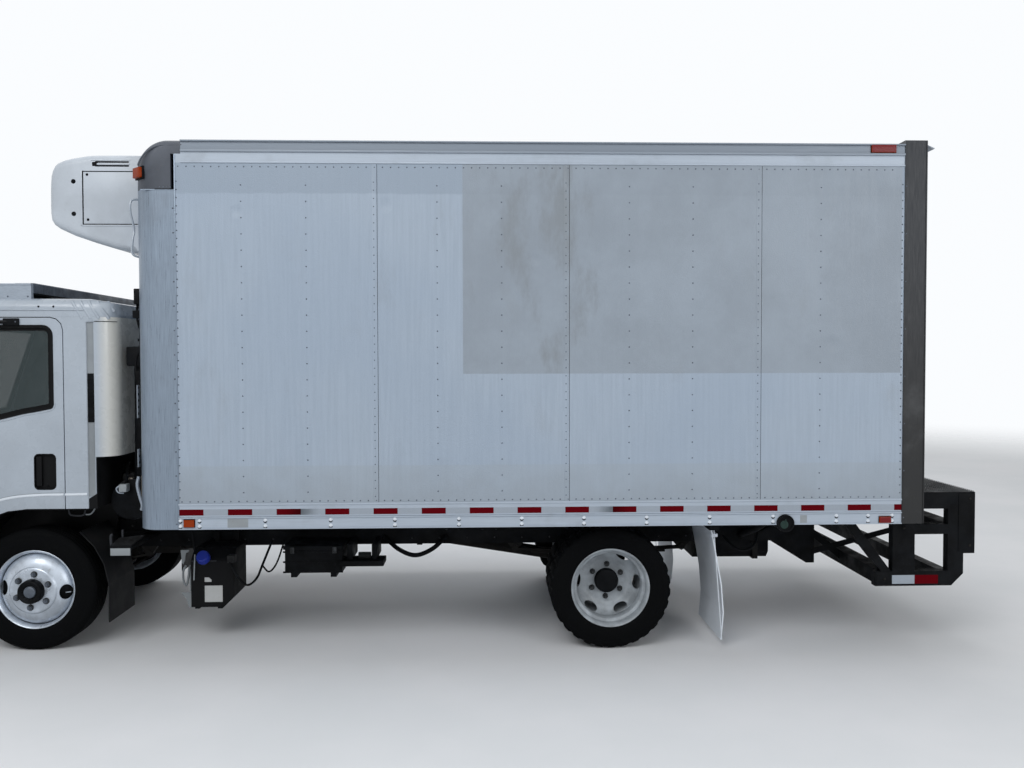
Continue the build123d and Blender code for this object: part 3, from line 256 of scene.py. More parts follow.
def plastic(name, colour, rough=0.6, vary=0.15, grain=300, depth=0.25, dust=0.25):
    """Moulded plastic, rubber or label with grain and dust."""
    dark = max(colour) < 80
    f = Finish(name, Specular_IOR_Level=0.15 if dark else 0.4)
    cloud = f.noise(6, 5)
    out = f.blend(cloud, 0.35, 0.7, colour, scaled(colour, 1 + vary, 0.004))
    dirt = tuple(26 + 1.1 * c for c in colour) if dark else (92, 88, 80)
    out = f.blend(f.noise(28, 6, 0.7), 0.55, 0.8, out, dirt, dust)
    worn = f.spread(cloud, 0.3, 0.7, rough * 0.85, min(1, rough * 1.15))
    return f.done(out, worn, f.noise(grain, 3), depth)


# Station and height in millimetres, reach in metres
DENTS = ((1430, 2850, 0.05), (2355, 2890, 0.06), (5205, 2010, 0.07), (3300, 2550, 0.05))
PATCH_FRONT, PATCH_REAR = (FRONT_AXLE + 2683) / 1000, (FRONT_AXLE + 5655) / 1000


def wall_finish(name, patch):
    """Sheet panels: faint upright streaks, a duller field left by a removed film, shallow dents."""
    f = Finish(name, Specular_IOR_Level=0.35)
    x, z = f.axis("X"), f.axis("Z")
    streak = f.noise(6, 5, 0.6, (9, 9, 0.35))
    out = f.blend(streak, 0.3, 0.7, (156, 169, 184), (163, 176, 191))
    out = f.blend(f.noise(0.9, 4, 0.5), 0.35, 0.65, out, (151, 166, 184), 0.5)
    out = f.blend(f.plus(z, f.noise(9, 5, 0.7), -0.03), 2.938, 2.954, out, (143, 156, 171), 0.7)
    out = f.mix(f.spread(z, 1.246, 1.256, 0.5, 0), out, (156, 166, 176))
    if patch:
        edge = f.maths("ADD", x, f.spread(f.noise(2.2, 6, 0.75, (0.1, 0.1, 1)), 0.6, 0.69, 0, 0.16))
        field = f.maths("MULTIPLY", f.spread(edge, PATCH_FRONT + 0.155, PATCH_FRONT + 0.163),
                        f.spread(x, PATCH_REAR, PATCH_REAR + 0.004, 1, 0))
        field = f.maths("MULTIPLY", field, f.spread(z, 1.826, 1.832))
        film = f.blend(f.noise(1.4, 5, 0.65), 0.35, 0.65, (138, 147, 157), (148, 158, 169))
        smear = f.maths("MULTIPLY", f.spread(f.noise(1.7, 6, 0.7, (1, 1, 0.4)), 0.5, 0.66),
                        f.spread(x, PATCH_FRONT + 1.1, PATCH_FRONT + 1.3, 1, 0.15))
        film = f.mix(smear, film, (127, 133, 138))
        out = f.mix(f.maths("MULTIPLY", field, 0.85), out, film)
    out = f.blend(f.noise(3.5, 7, 0.65, (1, 1, 0.45)), 0.56, 0.8, out, (134, 139, 143), 0.25)
    out = f.mix(f.spread(f.plus(z, f.noise(5, 6), -0.5), 0.72, 1.05, 0.2, 0), out, (120, 120, 118))
    height = f.maths("ADD", f.noise(1.6, 2, 0.4, (1, 1, 0.5)), f.noise(150, 2))
    for station, level, reach in DENTS if patch else ():
        spot = {0: f.place, 1: place(station, -HALF_BOX, level)}
        away = f.add("ShaderNodeVectorMath", spot, operation="DISTANCE").outputs["Value"]
        height = f.maths("ADD", height, f.spread(away, 0, reach, -3.5, 0))
    return f.done(out, f.spread(streak, 0.3, 0.7, 0.34, 0.5), height, 0.35, 0.004)


def painted_reflection_band(low, high, colour):
    """Painted reflection: overlay that goes over to a colour between two heights in metres, standing in for what a
    metal face mirrors there.
    """
    return lambda f, out: f.blend(f.axis("Z"), low, high, out, colour)


def only_step(f, out):
    """Body colour on the outer step panels, dark under-body coating everywhere else."""
    outer = f.spread(f.maths("ABSOLUTE", f.axis("Y")), 0.984, 0.986)
    ahead = f.spread(f.axis("X"), (FRONT_AXLE - 382) / 1000, (FRONT_AXLE - 378) / 1000, 1, 0)
    mask = f.maths("MULTIPLY", outer, ahead)
    f.to("Specular IOR Level", f.spread(mask, 0, 1, 0.12, 0.5))
    return f.mix(mask, (9, 10, 12), out)


def painted_corner_light(f, out):
    """Painted light: paler and warmer round the cab's corner, where only light from the box reaches it, so that the
    corner looks lit.
    """
    turn = f.spread(f.axis("X"), (FRONT_AXLE + 445) / 1000, (FRONT_AXLE + 545) / 1000)
    return f.mix(turn, out, (222, 222, 216))


def lens(name, colour, rough=0.15, coat=0.15, shine=0.25):
    """Moulded lamp lens or tape with fine ribs."""
    f = Finish(name, Coat_Weight=coat, Coat_Roughness=0.08, Specular_IOR_Level=shine)
    ribs = f.add("ShaderNodeTexWave", {"Vector": f.place, "Scale": 60, "Distortion": 0.2}).outputs["Fac"]
    return f.done(f.mix(ribs, scaled(colour, 0.6), colour), f.spread(ribs, 0, 1, rough, rough * 2), ribs, 0.4)


def brushed(name, colour, rough, metal, stretch, vary=0.2, tarnish=0.25, over=None):
    """Metal with drawn lines along one direction."""
    f = Finish(name, Metallic=metal)
    lines = f.noise(30, 6, 0.7, stretch)
    out = f.blend(lines, 0.3, 0.7, scaled(colour, 1 - vary), scaled(colour, 1 + vary))
    out = f.blend(f.noise(3, 6, 0.65), 0.5, 0.75, out, (92, 94, 96), tarnish)
    if over:
        out = over(f, out)
    return f.done(out, f.spread(lines, 0.3, 0.7, rough * 0.8, min(1, rough * 1.3)), lines, 0.15)


def pane(name, colour, alpha):
    """Tinted pane with a little dust; alpha lets the inside show."""
    f = Finish(name, Specular_IOR_Level=0.4, Coat_Weight=0.3, Coat_Roughness=0.03, Roughness=0.05, Alpha=alpha)
    f.to("Base Color", f.blend(f.noise(14, 6, 0.7), 0.5, 0.8, colour, (150, 158, 160), 0.1))
    return f.material


def tyre_rubber():
    f = Finish("tyre_rubber", Specular_IOR_Level=0.07)
    cloud = f.noise(14, 6, 0.65)
    out = f.blend(cloud, 0.35, 0.7, (3, 4, 5), (8, 9, 11))
    out = f.blend(f.noise(60, 4), 0.58, 0.85, out, (44, 43, 42), 0.15)
    return f.done(out, f.spread(cloud, 0.3, 0.7, 0.7, 0.9), f.noise(260, 3), 0.3)


def cloth(name, dark, pale):
    f = Finish(name, Sheen_Weight=0.3)
    weave = f.add("ShaderNodeTexVoronoi", {"Vector": f.place, "Scale": 420}).outputs[0]
    cloud = f.noise(8, 5)
    out = f.blend(cloud, 0.4, 0.7, f.blend(weave, 0.1, 0.8, dark, pale), dark, 0.4)
    return f.done(out, f.spread(cloud, 0.3, 0.7, 0.8, 0.95), weave, 0.5)


BODY = (167, 177, 188)
WALL_LEFT = wall_finish("wall_left", True)
WALL_RIGHT = wall_finish("wall_right", False)
CAB_WHITE = painted("cab_paint", BODY, 0.28, vary=0.03, coat=0.5, orange_peel=0.04, low_grime=(0.5, 1.0, 0.25))
CAB_FLOOR = painted("floor_and_step", BODY, 0.4, vary=0.04, grime=0.1, over=only_step)
# The cab's rear corner is painted paler and warmer: painted light standing in for the light thrown on it by the box.
CAB_REAR_PAINTED_LIGHT = painted("cab_rear_paint_and_painted_light", BODY, 0.28, vary=0.03, coat=0.5, orange_peel=0.04, over=painted_corner_light)
UNIT_WHITE = painted("unit_paint", (186, 194, 203), 0.35, vary=0.05, coat=0.2, grime=0.12, shine=0.35)
# The rail metal turns darker above 3.2 m: a painted reflection, not a change in the metal.
RAIL = brushed("rail_metal_painted_reflection", (168, 179, 192), 0.42, 0.1, (0.15, 4, 6), 0.05, 0.2, painted_reflection_band(3.2, 3.235, (124, 134, 146)))
ROOF = painted("roof_sheet", (176, 184, 194), 0.5, vary=0.1, grime=0.35, shine=0.3)
CAP = painted("cap_grey", (78, 83, 92), 0.42, 0.1, vary=0.14, scale=1.6, grime=0.15, shine=0.3)
POST = brushed("post_metal", (128, 141, 156), 0.32, 0.4, (7, 7, 0.2), 0.14, 0.25)
# Stainless given near-black and paler upwards from 1.2 m to 3 m: a painted reflection of its surroundings, not the
# steel's own colour.
STAINLESS_PAINTED_REFLECTION = brushed("stainless", (18, 19, 21), 0.5, 0.1, (7, 7, 0.25), 0.2, 0.3, painted_reflection_band(1.2, 3.0, (36, 39, 44)))
BLACK = painted("chassis_black", (12, 14, 17), 0.62, vary=0.25, scale=7, orange_peel=0.3, grime=0.3, shine=0.1)
STEEL = painted("dark_steel", (30, 29, 28), 0.65, 0.2, vary=0.3, scale=9, orange_peel=0.5, grime=0.5, shine=0.2)
BARE = brushed("bare_steel", (118, 112, 104), 0.42, 0.8, (1, 6, 6), 0.25, 0.6)
CAST = painted("cast_metal", (48, 49, 50), 0.75, 0.2, vary=0.25, scale=11, orange_peel=0.8, grime=0.45, shine=0.2)
PLASTIC = plastic("black_plastic", (12, 13, 16))
GREY = plastic("grey_plastic", (46, 48, 52))
FLAP = plastic("white_flap", (215, 222, 230), 0.5, 0.06, 90, 0.15, 0.12)
ALUMINIUM = brushed("aluminium", (152, 162, 174), 0.42, 0.35, (1, 6, 6), 0.1, 0.3)
SILVER = painted("wheel_silver", (188, 197, 208), 0.32, 0.45, vary=0.1, scale=8, coat=0.2, grime=0.4)
# Rear wheels: their own white paint, darkened as painted shade because they sit under the box.
REAR_WHEEL_WHITE_AND_SHADE = painted("wheel_white", (160, 167, 173), 0.42, vary=0.12, scale=8, grime=0.45)
NUT = painted("nut_steel", (58, 60, 62), 0.5, 0.5, vary=0.25, scale=20, grime=0.5, shine=0.3)
RUBBER = tyre_rubber()
SEAL = plastic("seal_rubber", (7, 8, 10), 0.75, 0.2, 200, 0.2, 0.1)
RIVET_GREY = painted("rivet_grey", (88, 96, 107), 0.45, 0.3, vary=0.12, scale=20, grime=0.3)
TREAD = painted("tread_plate", (24, 25, 27), 0.65, 0.2, vary=0.3, scale=22, orange_peel=0.8, grime=0.5, shine=0.2)
AMBER = lens("amber_lens", (156, 56, 8), coat=0.05, shine=0.1)
RED = lens("red_lens", (120, 8, 16), 0.2)
CLEAR = lens("clear_lens", (196, 204, 210), 0.08)
TAPE_RED = lens("tape_red", (100, 2, 14), 0.5, 0, 0.05)
TAPE_WHITE = lens("tape_white", (170, 180, 192), 0.4, 0.05)
GREEN = plastic("green_cap", (34, 52, 48), 0.5, 0.3, 120, 0.2, 0.4)
BLUE = plastic("blue_cap", (34, 52, 152), 0.4, 0.1, 120, 0.1, 0.1)
GLASS = pane("pane", (44, 60, 62), 0.55)
LAMP_COVER = pane("lamp_cover", (196, 204, 210), 0.2)
REFLECTOR = painted("reflector", (190, 194, 198), 0.12, 0.9, vary=0.03, scale=20)
# Grey that stands in for shade: painted into the recessed strip behind the door and as a line above the door crease.
PAINTED_SHADE_GREY = painted("painted_shade_grey", (138, 144, 149), 0.5, vary=0.08, grime=0.2, shine=0.3)
DOOR_SHEET = painted("rear_door_sheet", (150, 162, 176), 0.45, vary=0.04, scale=1.4, grime=0.15,
                     low_grime=(0.7, 1.3, 0.35), shine=0.35)
GRATE = painted("walkway_grate", (78, 81, 84), 0.55, 0.4, vary=0.25, scale=14, grime=0.5, shine=0.3)
MIRROR_GLASS = painted("mirror_glass", (150, 158, 165), 0.05, 0.95, vary=0.03)
CLOTH = cloth("seat_cloth", (52, 58, 60), (96, 104, 104))
DASH = plastic("dash_plastic", (60, 62, 65), 0.65, 0.15, 220, 0.35, 0.1)
LABEL = plastic("plain_label", (176, 178, 178), 0.5, 0.08, 90, 0.1, 0.35)
GREY_LABEL = plastic("worn_label", (140, 146, 150), 0.55, 0.12, 60, 0.1, 0.3)

NODE_FINISH = {
    WALL_LEFT: "box_wall_left", WALL_RIGHT: "box_wall_right box_front_wall", DOOR_SHEET: "rear_door",
    CAB_FLOOR: "cab_floor", CAB_WHITE: "cab_front cab_rear cab_roof door_left door_right front_bumper",
    UNIT_WHITE: "reefer_unit", ROOF: "box_roof", CAP: "nose_cap", RAIL: "box_floor top_rails",
    POST: "corner_posts", STAINLESS_PAINTED_REFLECTION: "rear_frame", STEEL: "leaf_springs propshaft tie_rod", BARE: "exhaust",
    BLACK: "frame_rails front_axle rear_axle battery_box fuel_tank rear_platform knuckle_left knuckle_right",
    CAST: "engine_block radiator", PLASTIC: "def_tank mudguards reefer_grille mirror_left mirror_right",
    FLAP: "mudflaps", ALUMINIUM: "roof_deflector", GLASS: "cab_glass door_glass_left door_glass_right",
    DASH: "dashboard", CLOTH: "seats", CLEAR: "headlamps", AMBER: "marker_lamps",
    SILVER: "front_rim_left front_rim_right", REAR_WHEEL_WHITE_AND_SHADE: "rear_rims_left rear_rims_right",
    RUBBER: "front_tyre_left front_tyre_right rear_tyres_left rear_tyres_right",
}
for finish, names in NODE_FINISH.items():
    for name in names.split():
        mesh = nodes[name].data
        mesh.materials.clear()
        mesh.materials.append(finish)
        mesh.shade_smooth()
        mesh.set_sharp_from_angle(angle=radians(32))


# Mesh building


class Shape:
    """Collects the faces of one piece, in millimetres. Widths are written for the right and multiplied by side."""

    def __init__(self, *materials, side=1):
        self.mesh = bmesh.new()
        self.materials = materials
        self.slot = 0
        self.side = side

    def both(self):
        """Sets the side to the left, then to the right."""
        for self.side, name in SIDES:
            yield name

    def use(self, material):
        self.slot = self.materials.index(material)
        return self

    def at(self, x, y, z):
        return place(x, self.side * y, z)

    def _face(self, corners):
        face = self.mesh.faces.new(corners)
        face.material_index = self.slot
        return face

    def loops(self, rows, closed=True, ends=True, bevel=0.0):
        """Skin over rows of points, each row a ring."""
        made = [[self.mesh.verts.new(p) for p in row] for row in rows]
        count = len(made[0])
        faces = []
        for a, b in zip(made, made[1:]):
            for n in range(count if closed else count - 1):
                m = (n + 1) % count
                faces.append(self._face((a[n], a[m], b[m], b[n])))
        if ends and closed:
            faces.append(self._face(made[0][::-1]))
            faces.append(self._face(made[-1]))
        if bevel:
            self.soften(faces, bevel)
        return faces

    def soften(self, faces, size, segments=2):
        edges = list(dict.fromkeys(edge for face in faces for edge in face.edges))
        made = bmesh.ops.bevel(self.mesh, geom=edges, offset=size / 1000, segments=segments, affect="EDGES",
                               profile=0.6, clamp_overlap=True)
        for face in made["faces"]:
            face.material_index = self.slot

    def box(self, x0, x1, y0, y1, z0, z1, bevel=0.0):
        """Upright block. Its widths may come in either order."""
        low_y, high_y = sorted((self.side * y0, self.side * y1))
        low, high = place(x0, low_y, z0), place(x1, high_y, z1)
        corners = [self.mesh.verts.new((x, y, z)) for z in (low.z, high.z)
                   for x, y in ((low.x, low.y), (high.x, low.y), (high.x, high.y), (low.x, high.y))]
        order = ((3, 2, 1, 0), (4, 5, 6, 7), (0, 1, 5, 4), (1, 2, 6, 5), (2, 3, 7, 6), (3, 0, 4, 7))
        faces = [self._face([corners[i] for i in face]) for face in order]
        if bevel:
            self.soften(faces, bevel)

    def plates(self, half, rows):
        """Blocks on a side: material, stations, depths inside and outside that half width, heights and bevel."""
        for material, x0, x1, sunk, proud, low, high, bevel in rows:
            self.use(material).box(x0, x1, half - sunk, half + proud, low, high, bevel)

    def prism(self, outline, y0, y1, bevel=0.0):
        """Side-view outline of stations and heights, carried across."""
        across = sorted((self.side * y0, self.side * y1))
        self.loops([[place(x, y, z) for x, z in outline] for y in across], bevel=bevel)

    def rod(self, a, b, radius, sides=12, end_radius=None):
        """Round bar between two points given as station, width, height."""
        a, b = self.at(*a), self.at(*b)
        line = (b - a).normalized()
        side = line.orthogonal().normalized()
        other = line.cross(side)
        self.loops([circle(a, side, other, radius, sides), circle(b, side, other, end_radius or radius, sides)])

    def pipe(self, points, radius, sides=8, smooth=4):
        """Bent tube through points, its bends rounded in that many steps."""
        path = [self.at(*p) for p in points]
        if smooth > 1 and len(path) > 2:
            ends = [path[0] * 2 - path[1]] + path + [path[-1] * 2 - path[-2]]
            fine = []
            for n in range(len(path) - 1):
                p0, p1, p2, p3 = ends[n:n + 4]
                for step in range(smooth):
                    t = step / smooth
                    fine.append(0.5 * (2 * p1 + (p2 - p0) * t + (2 * p0 - 5 * p1 + 4 * p2 - p3) * t * t
                                       + (3 * p1 - p0 - 3 * p2 + p3) * t ** 3))
            path = fine + [path[-1]]
        side = (path[1] - path[0]).orthogonal().normalized()
        rows = []
        for n, centre in enumerate(path):
            line = (path[min(n + 1, len(path) - 1)] - path[max(n - 1, 0)]).normalized()
            side = (side - line * side.dot(line)).normalized()
            rows.append(circle(centre, side, line.cross(side), radius, sides))
        self.loops(rows)

    def lathe(self, profile, station, z=HUB, sides=64):
        """Outline of width and radius, turned about a line across the truck."""
        self.loops([circle(self.at(station, y, z), X, Z, r, sides) for y, r in profile], ends=False)

    def dome(self, x, y, z, radius, height, sides=8, normal=(0, 1, 0)):
        """Low rivet head on a surface facing along normal, which turns over with the side."""
        normal = Vector((normal[0], self.side * normal[1], normal[2]))
        side = normal.orthogonal().normalized()
        other = normal.cross(side)
        made = self.loops([circle(self.at(x, y, z) + normal * h * height / 1000, side, other, r * radius, sides)
                           for r, h in ((1, 0), (0.72, 0.68), (0.25, 1))], ends=False)
        self._face([face.verts[3] for face in made[-sides:]])

    def panel(self, centre, normal, half_width, half_height, sunk, proud, bevel):
        """Upright block standing on a surface that faces along a level normal."""
        normal = Vector(normal).normalized()
        across = Z.cross(normal)
        rows = []
        for depth in (-sunk, proud):
            rows.append([centre + normal * depth / 1000 + across * w * half_width / 1000 + Z * h * half_height / 1000
                         for w, h in ((-1, -1), (1, -1), (1, 1), (-1, 1))])
        self.loops(rows, bevel=bevel)

    def finish(self, name, body, slot, replaced=None, angle=35, merge=True):
        """Closes the piece, which rides a body and may replace a CAD node."""
        if merge:
            bmesh.ops.remove_doubles(self.mesh, verts=self.mesh.verts, dist=1e-6)
        bmesh.ops.recalc_face_normals(self.mesh, faces=self.mesh.faces)
        data = bpy.data.meshes.new(name)
        self.mesh.to_mesh(data)
        self.mesh.free()
        for material in self.materials:
            data.materials.append(material)
        data.shade_smooth()
        data.set_sharp_from_angle(angle=radians(angle))
        piece = bpy.data.objects.new(name, data)
        bpy.context.scene.collection.objects.link(piece)
        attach(piece, body)
        if replaced:
            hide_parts(replaced)
        return piece


def joined(name, node, body, material, slot):
    """New piece with a CAD node's faces, its points joined so that curved skin is shaded smoothly."""
    shape = Shape(material)
    shape.mesh.from_mesh(nodes[node].data)
    bmesh.ops.remove_doubles(shape.mesh, verts=shape.mesh.verts, dist=1e-5)
    for edge in shape.mesh.edges:
        edge.smooth = True
    for face in shape.mesh.faces:
        face.material_index = 0
    piece = shape.finish(name, body, slot, node, angle=38)
    piece.modifiers.new("flats", "WEIGHTED_NORMAL").keep_sharp = True


# Floor: fades out far away and isn't seen from below


def make_floor():
    f = Finish("studio_floor", Roughness=0.9)
    f.to("Base Color", f.blend(f.noise(0.6, 4), 0.3, 0.7, (0.74, 0.76, 0.78, 1), (0.8, 0.81, 0.83, 1)))
    far = f.add("ShaderNodeVectorMath", {0: f.place}, operation="LENGTH").outputs["Value"]
    clear = f.add("ShaderNodeBsdfTransparent").outputs[0]
    under = f.add("ShaderNodeNewGeometry").outputs["Backfacing"]
    hidden = f.maths("MAXIMUM", f.spread(far, 9, 24), under)
    blend = f.add("ShaderNodeMixShader", {0: hidden, 1: f.shader.outputs[0], 2: clear})
    f.tree.links.new(blend.outputs[0], f.tree.nodes["Material Output"].inputs["Surface"])
    bpy.ops.mesh.primitive_grid_add(x_subdivisions=8, y_subdivisions=8, size=60, location=(0, 0, -0.001))
    floor = bpy.context.object
    floor.name = "studio_floor"
    floor.data.materials.append(f.material)
    floor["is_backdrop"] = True


make_floor()

# Box: rivets, joints, rails and tape on both sides
RIVET = 50.8
TAPE = 152.4
JOINTS = (2284, 3496, 4728)
STIFFENERS = (1457, 1860, 2681, 3088, 3900, 4307, 5132)
BOLTS = (1060, 1179, 1590, 2001, 2406, 2812, 3212, 3611, 4014, 4421, 4833, 5246, 5453, 5611)

for side, name in SIDES:
    rivets = Shape(RIVET_GREY, FLAP, SEAL, side=side)
    for n in range(int((FRAME_FRONT - POST_END - 40) / RIVET)):
        for z in (PANEL_LOW + 14, PANEL_HIGH - 22):
            rivets.dome(POST_END + 22 + n * RIVET, HALF_BOX, z, 5, 2.2, 6)
    rows = int((PANEL_HIGH - PANEL_LOW - 60) / RIVET)
    columns = [(x, 40, 1) for x in (POST_END + 10, *JOINTS, FRAME_FRONT - 14)] + [(x, 70, 2) for x in STIFFENERS]
    for x, start, every in columns:
        for n in range(rows // every):
            rivets.dome(x, HALF_BOX, PANEL_LOW + start + n * every * RIVET, 5, 2.4, 6)
    for z in (RAIL_LIP - 22, BOX_LOW + 18):
        for x in BOLTS:
            # Each bolt: a black dome peeping out below as its painted shadow, under a pale dome that is its painted
            # highlight.
            rivets.use(SEAL).dome(x, HALF_BOX, z - 4, 12, 6, 12)
            rivets.use(FLAP).dome(x, HALF_BOX, z + 2, 12.5, 9, 12)
    rivets.finish(f"box_rivets_{name}", "chassis", "rail_grey")

    wall = WALL_LEFT if side < 0 else WALL_RIGHT
    trim = Shape(RAIL, SEAL, GREY_LABEL, TAPE_RED, TAPE_WHITE, wall, side=side)
    for x in JOINTS:
        trim.use(wall).box(x - 12, x + 20, HALF_BOX, HALF_BOX + 1, PANEL_LOW + 1, PANEL_HIGH - 1, 0.4)
    for x in JOINTS:
        trim.use(SEAL).box(x + 20, x + 22.5, HALF_BOX, HALF_BOX + 0.7, PANEL_LOW + 3, PANEL_HIGH - 3)
    trim.use(RAIL)
    for x, proud, low, high, bevel in (
            (POST_END + 1, 5, PANEL_LOW - 10, PANEL_LOW + 2, 1.5), (POST_END + 1, 7, RAIL_LIP - 6, RAIL_LIP + 2, 2),
            (POST_END + 1, 7, BOX_LOW, BOX_LOW + 7, 2), (CAP_END, 9, 3218, 3232, 3),
            (CAP_END, 5, PANEL_HIGH, PANEL_HIGH + 10, 2), (CAP_END, 12, BOX_TOP - 14, BOX_TOP - 4, 3)):
        trim.box(x, FRAME_FRONT - 1, HALF_BOX, HALF_BOX + proud, low, high, bevel)
    for n in range(16):
        start = POST_END + 3 + n * 2 * TAPE
        for m, finish in enumerate((TAPE_RED, TAPE_WHITE)):
            if start + m * TAPE < FRAME_FRONT - 2:
                end = min(start + (m + 1) * TAPE, FRAME_FRONT - 2)
                trim.use(finish).box(start + m * TAPE, end, HALF_BOX, HALF_BOX + 0.8, 940, 978)
    trim.use(GREY_LABEL).box(1354, 1483, HALF_BOX, HALF_BOX + 0.6, 862, 918)
    trim.box(5009, 5054, HALF_BOX, HALF_BOX + 0.6, 862, 912)
    trim.finish(f"box_trim_{name}", "chassis", "rail_grey")

# Wheels: turned rims, discs with hand holes, nuts, hubs and treaded tyres. Widths are of the right side.
FRONT_WIDTH, REAR_WIDTHS = 823.5, (936.5, 682.5)
FRONT_FACE, REAR_FACE = 950.5, 809.5
NUT_CIRCLE = 111
DISC_STEPS = 144
DISC_WALL = 6
RIM = ((85, 262), (96, 262), (98, 259), (96, 255), (88, 249), (80, 243), (60, 240), (42, 239), (36, 222), (28, 217),
       (-30, 217), (-60, 236), (-90, 246), (-97.5, 255), (-97.5, 260), (-85, 261))
FRONT_DISC = ((0, 40), (0, 142), (-2, 148), (-8, 153), (-12, 157), (-13, 163), (-16, 173), (-20, 183), (-25, 193),
              (-31, 203), (-39, 213), (-49, 223), (-60, 231), (-72, 236))
REAR_DISC = ((0, 40), (0, 142), (1, 150), (4, 157), (8, 164), (10, 172), (12, 182), (16, 192), (22, 202), (32, 212),
             (46, 222), (60, 230), (70, 235))


def tread_tyre(shape, station, y, blocks):
    """Tyre with sidewall rings, circumferential grooves and, with blocks, cross cuts."""
    a, b, c, d, e = (86, 52, 44, 8, 8) if blocks else (88, 62, 56, 24, 18)
    half = [(84, 262), (98, 264), (103, 270), (108, 285), (112, 310), (113, 331), (112, 345), (110.5, 352),
            (111.5, 356), (108, 375), (101, 390), (95, 397), (a, 401.5), (b, 402.6), (b - 0.5, 390), (c + 0.5, 390),
            (c, 402.6), (d, 403), (d - 0.5, 390)]
    half += [(e - 3, 390)] if blocks else [(e + 0.5, 390), (e, 403)]
    sides = 180 if blocks else 120
    rows = []
    for w, r in [(y + w, r) for w, r in half] + [(y - w, r) for w, r in reversed(half)]:
        row = []
        for n in range(sides):
            t, reach = 2 * pi * n / sides, r
            if blocks and r > 399 and n % 6 in (0, 1):
                reach = r - 11
            elif not blocks and r > 402.5 and n % 4 == 0:
                reach = r - 2.5
            elif r == 397 and n % 6 in (0, 1):
                reach = r - (7 if blocks else 3)
            row.append(shape.at(station + reach * cos(t), w, HUB + reach * sin(t)))
        rows.append(row)
    shape.loops(rows, ends=False)


def holed_disc(shape, station, face, profile, holes, half):
    """Wheel disc as polar cells. Corners inside a hand hole move onto its oval outline; each hole gets a wall.

    Holes are a circle's radius and an angle, half their size along and across that radius.
    """
    fine = []
    for (w0, r0), (w1, r1) in zip(profile, profile[1:]):
        count = max(1, round((r1 - r0) / 5))
        fine += [(w0 + (w1 - w0) * n / count, r0 + (r1 - r0) * n / count) for n in range(count)]
    fine.append(profile[-1])
    widths, radii = [w for w, r in fine], [r for w, r in fine]
    points, inside = {}, set()
    for i, r in enumerate(radii):
        for n in range(DISC_STEPS):
            t = 2 * pi * n / DISC_STEPS
            x, z = r * cos(t), r * sin(t)
            for middle, angle in holes:
                a = radians(angle)
                u, v = x * cos(a) + z * sin(a) - middle, z * cos(a) - x * sin(a)
                reach = hypot(u / half[0], v / half[1])
                if reach < 1:
                    inside.add((i, n))
                    u, v = middle + u / max(reach, 1e-3), v / max(reach, 1e-3)
                    x, z = u * cos(a) - v * sin(a), u * sin(a) + v * cos(a)
            points[i, n] = x, float(np.interp(hypot(x, z), radii, widths)), z
    cells = []
    for i in range(len(radii) - 1):
        for n in range(DISC_STEPS):
            m = (n + 1) % DISC_STEPS
            corners = ((i, n), (i, m), (i + 1, m), (i + 1, n))
            if not inside.issuperset(corners):
                cells.append(corners)
    sheets = [{}, {}]
    for sheet, depth in zip(sheets, (0, DISC_WALL)):
        for corners in cells:
            for c in corners:
                if c not in sheet:
                    x, w, z = points[c]
                    sheet[c] = shape.mesh.verts.new(shape.at(station + x, face + w - depth, HUB + z))
            shape._face([sheet[c] for c in corners])
    rims = {}
    for corners in cells:
        for a, b in zip(corners, corners[1:] + corners[:1]):
            if a in inside and b in inside:
                rims.setdefault(frozenset((a, b)), []).append((a, b))
    for uses in rims.values():
        if len(uses) == 1:
            a, b = uses[0]
            shape._face((sheets[0][a], sheets[1][a], sheets[1][b], sheets[0][b]))


def wheel_nuts(shape, station, face, phase, washer, reaches, sides, finish):
    """Six washers, nuts and stud ends, which reach so far past the disc's face."""
    flat, top, nut, stud = (face + reach for reach in reaches)
    for n in range(6):
        t = radians(60 * n + phase)
        x, z = station + NUT_CIRCLE * cos(t), HUB + NUT_CIRCLE * sin(t)
        shape.use(NUT).lathe([(face, washer), (flat, washer), (top, 16)], x, z, sides)
        shape.use(finish).rod((x, flat, z), (x, nut, z), 15.5, 6)
        shape.rod((x, nut, z), (x, stud, z), 9, 10)


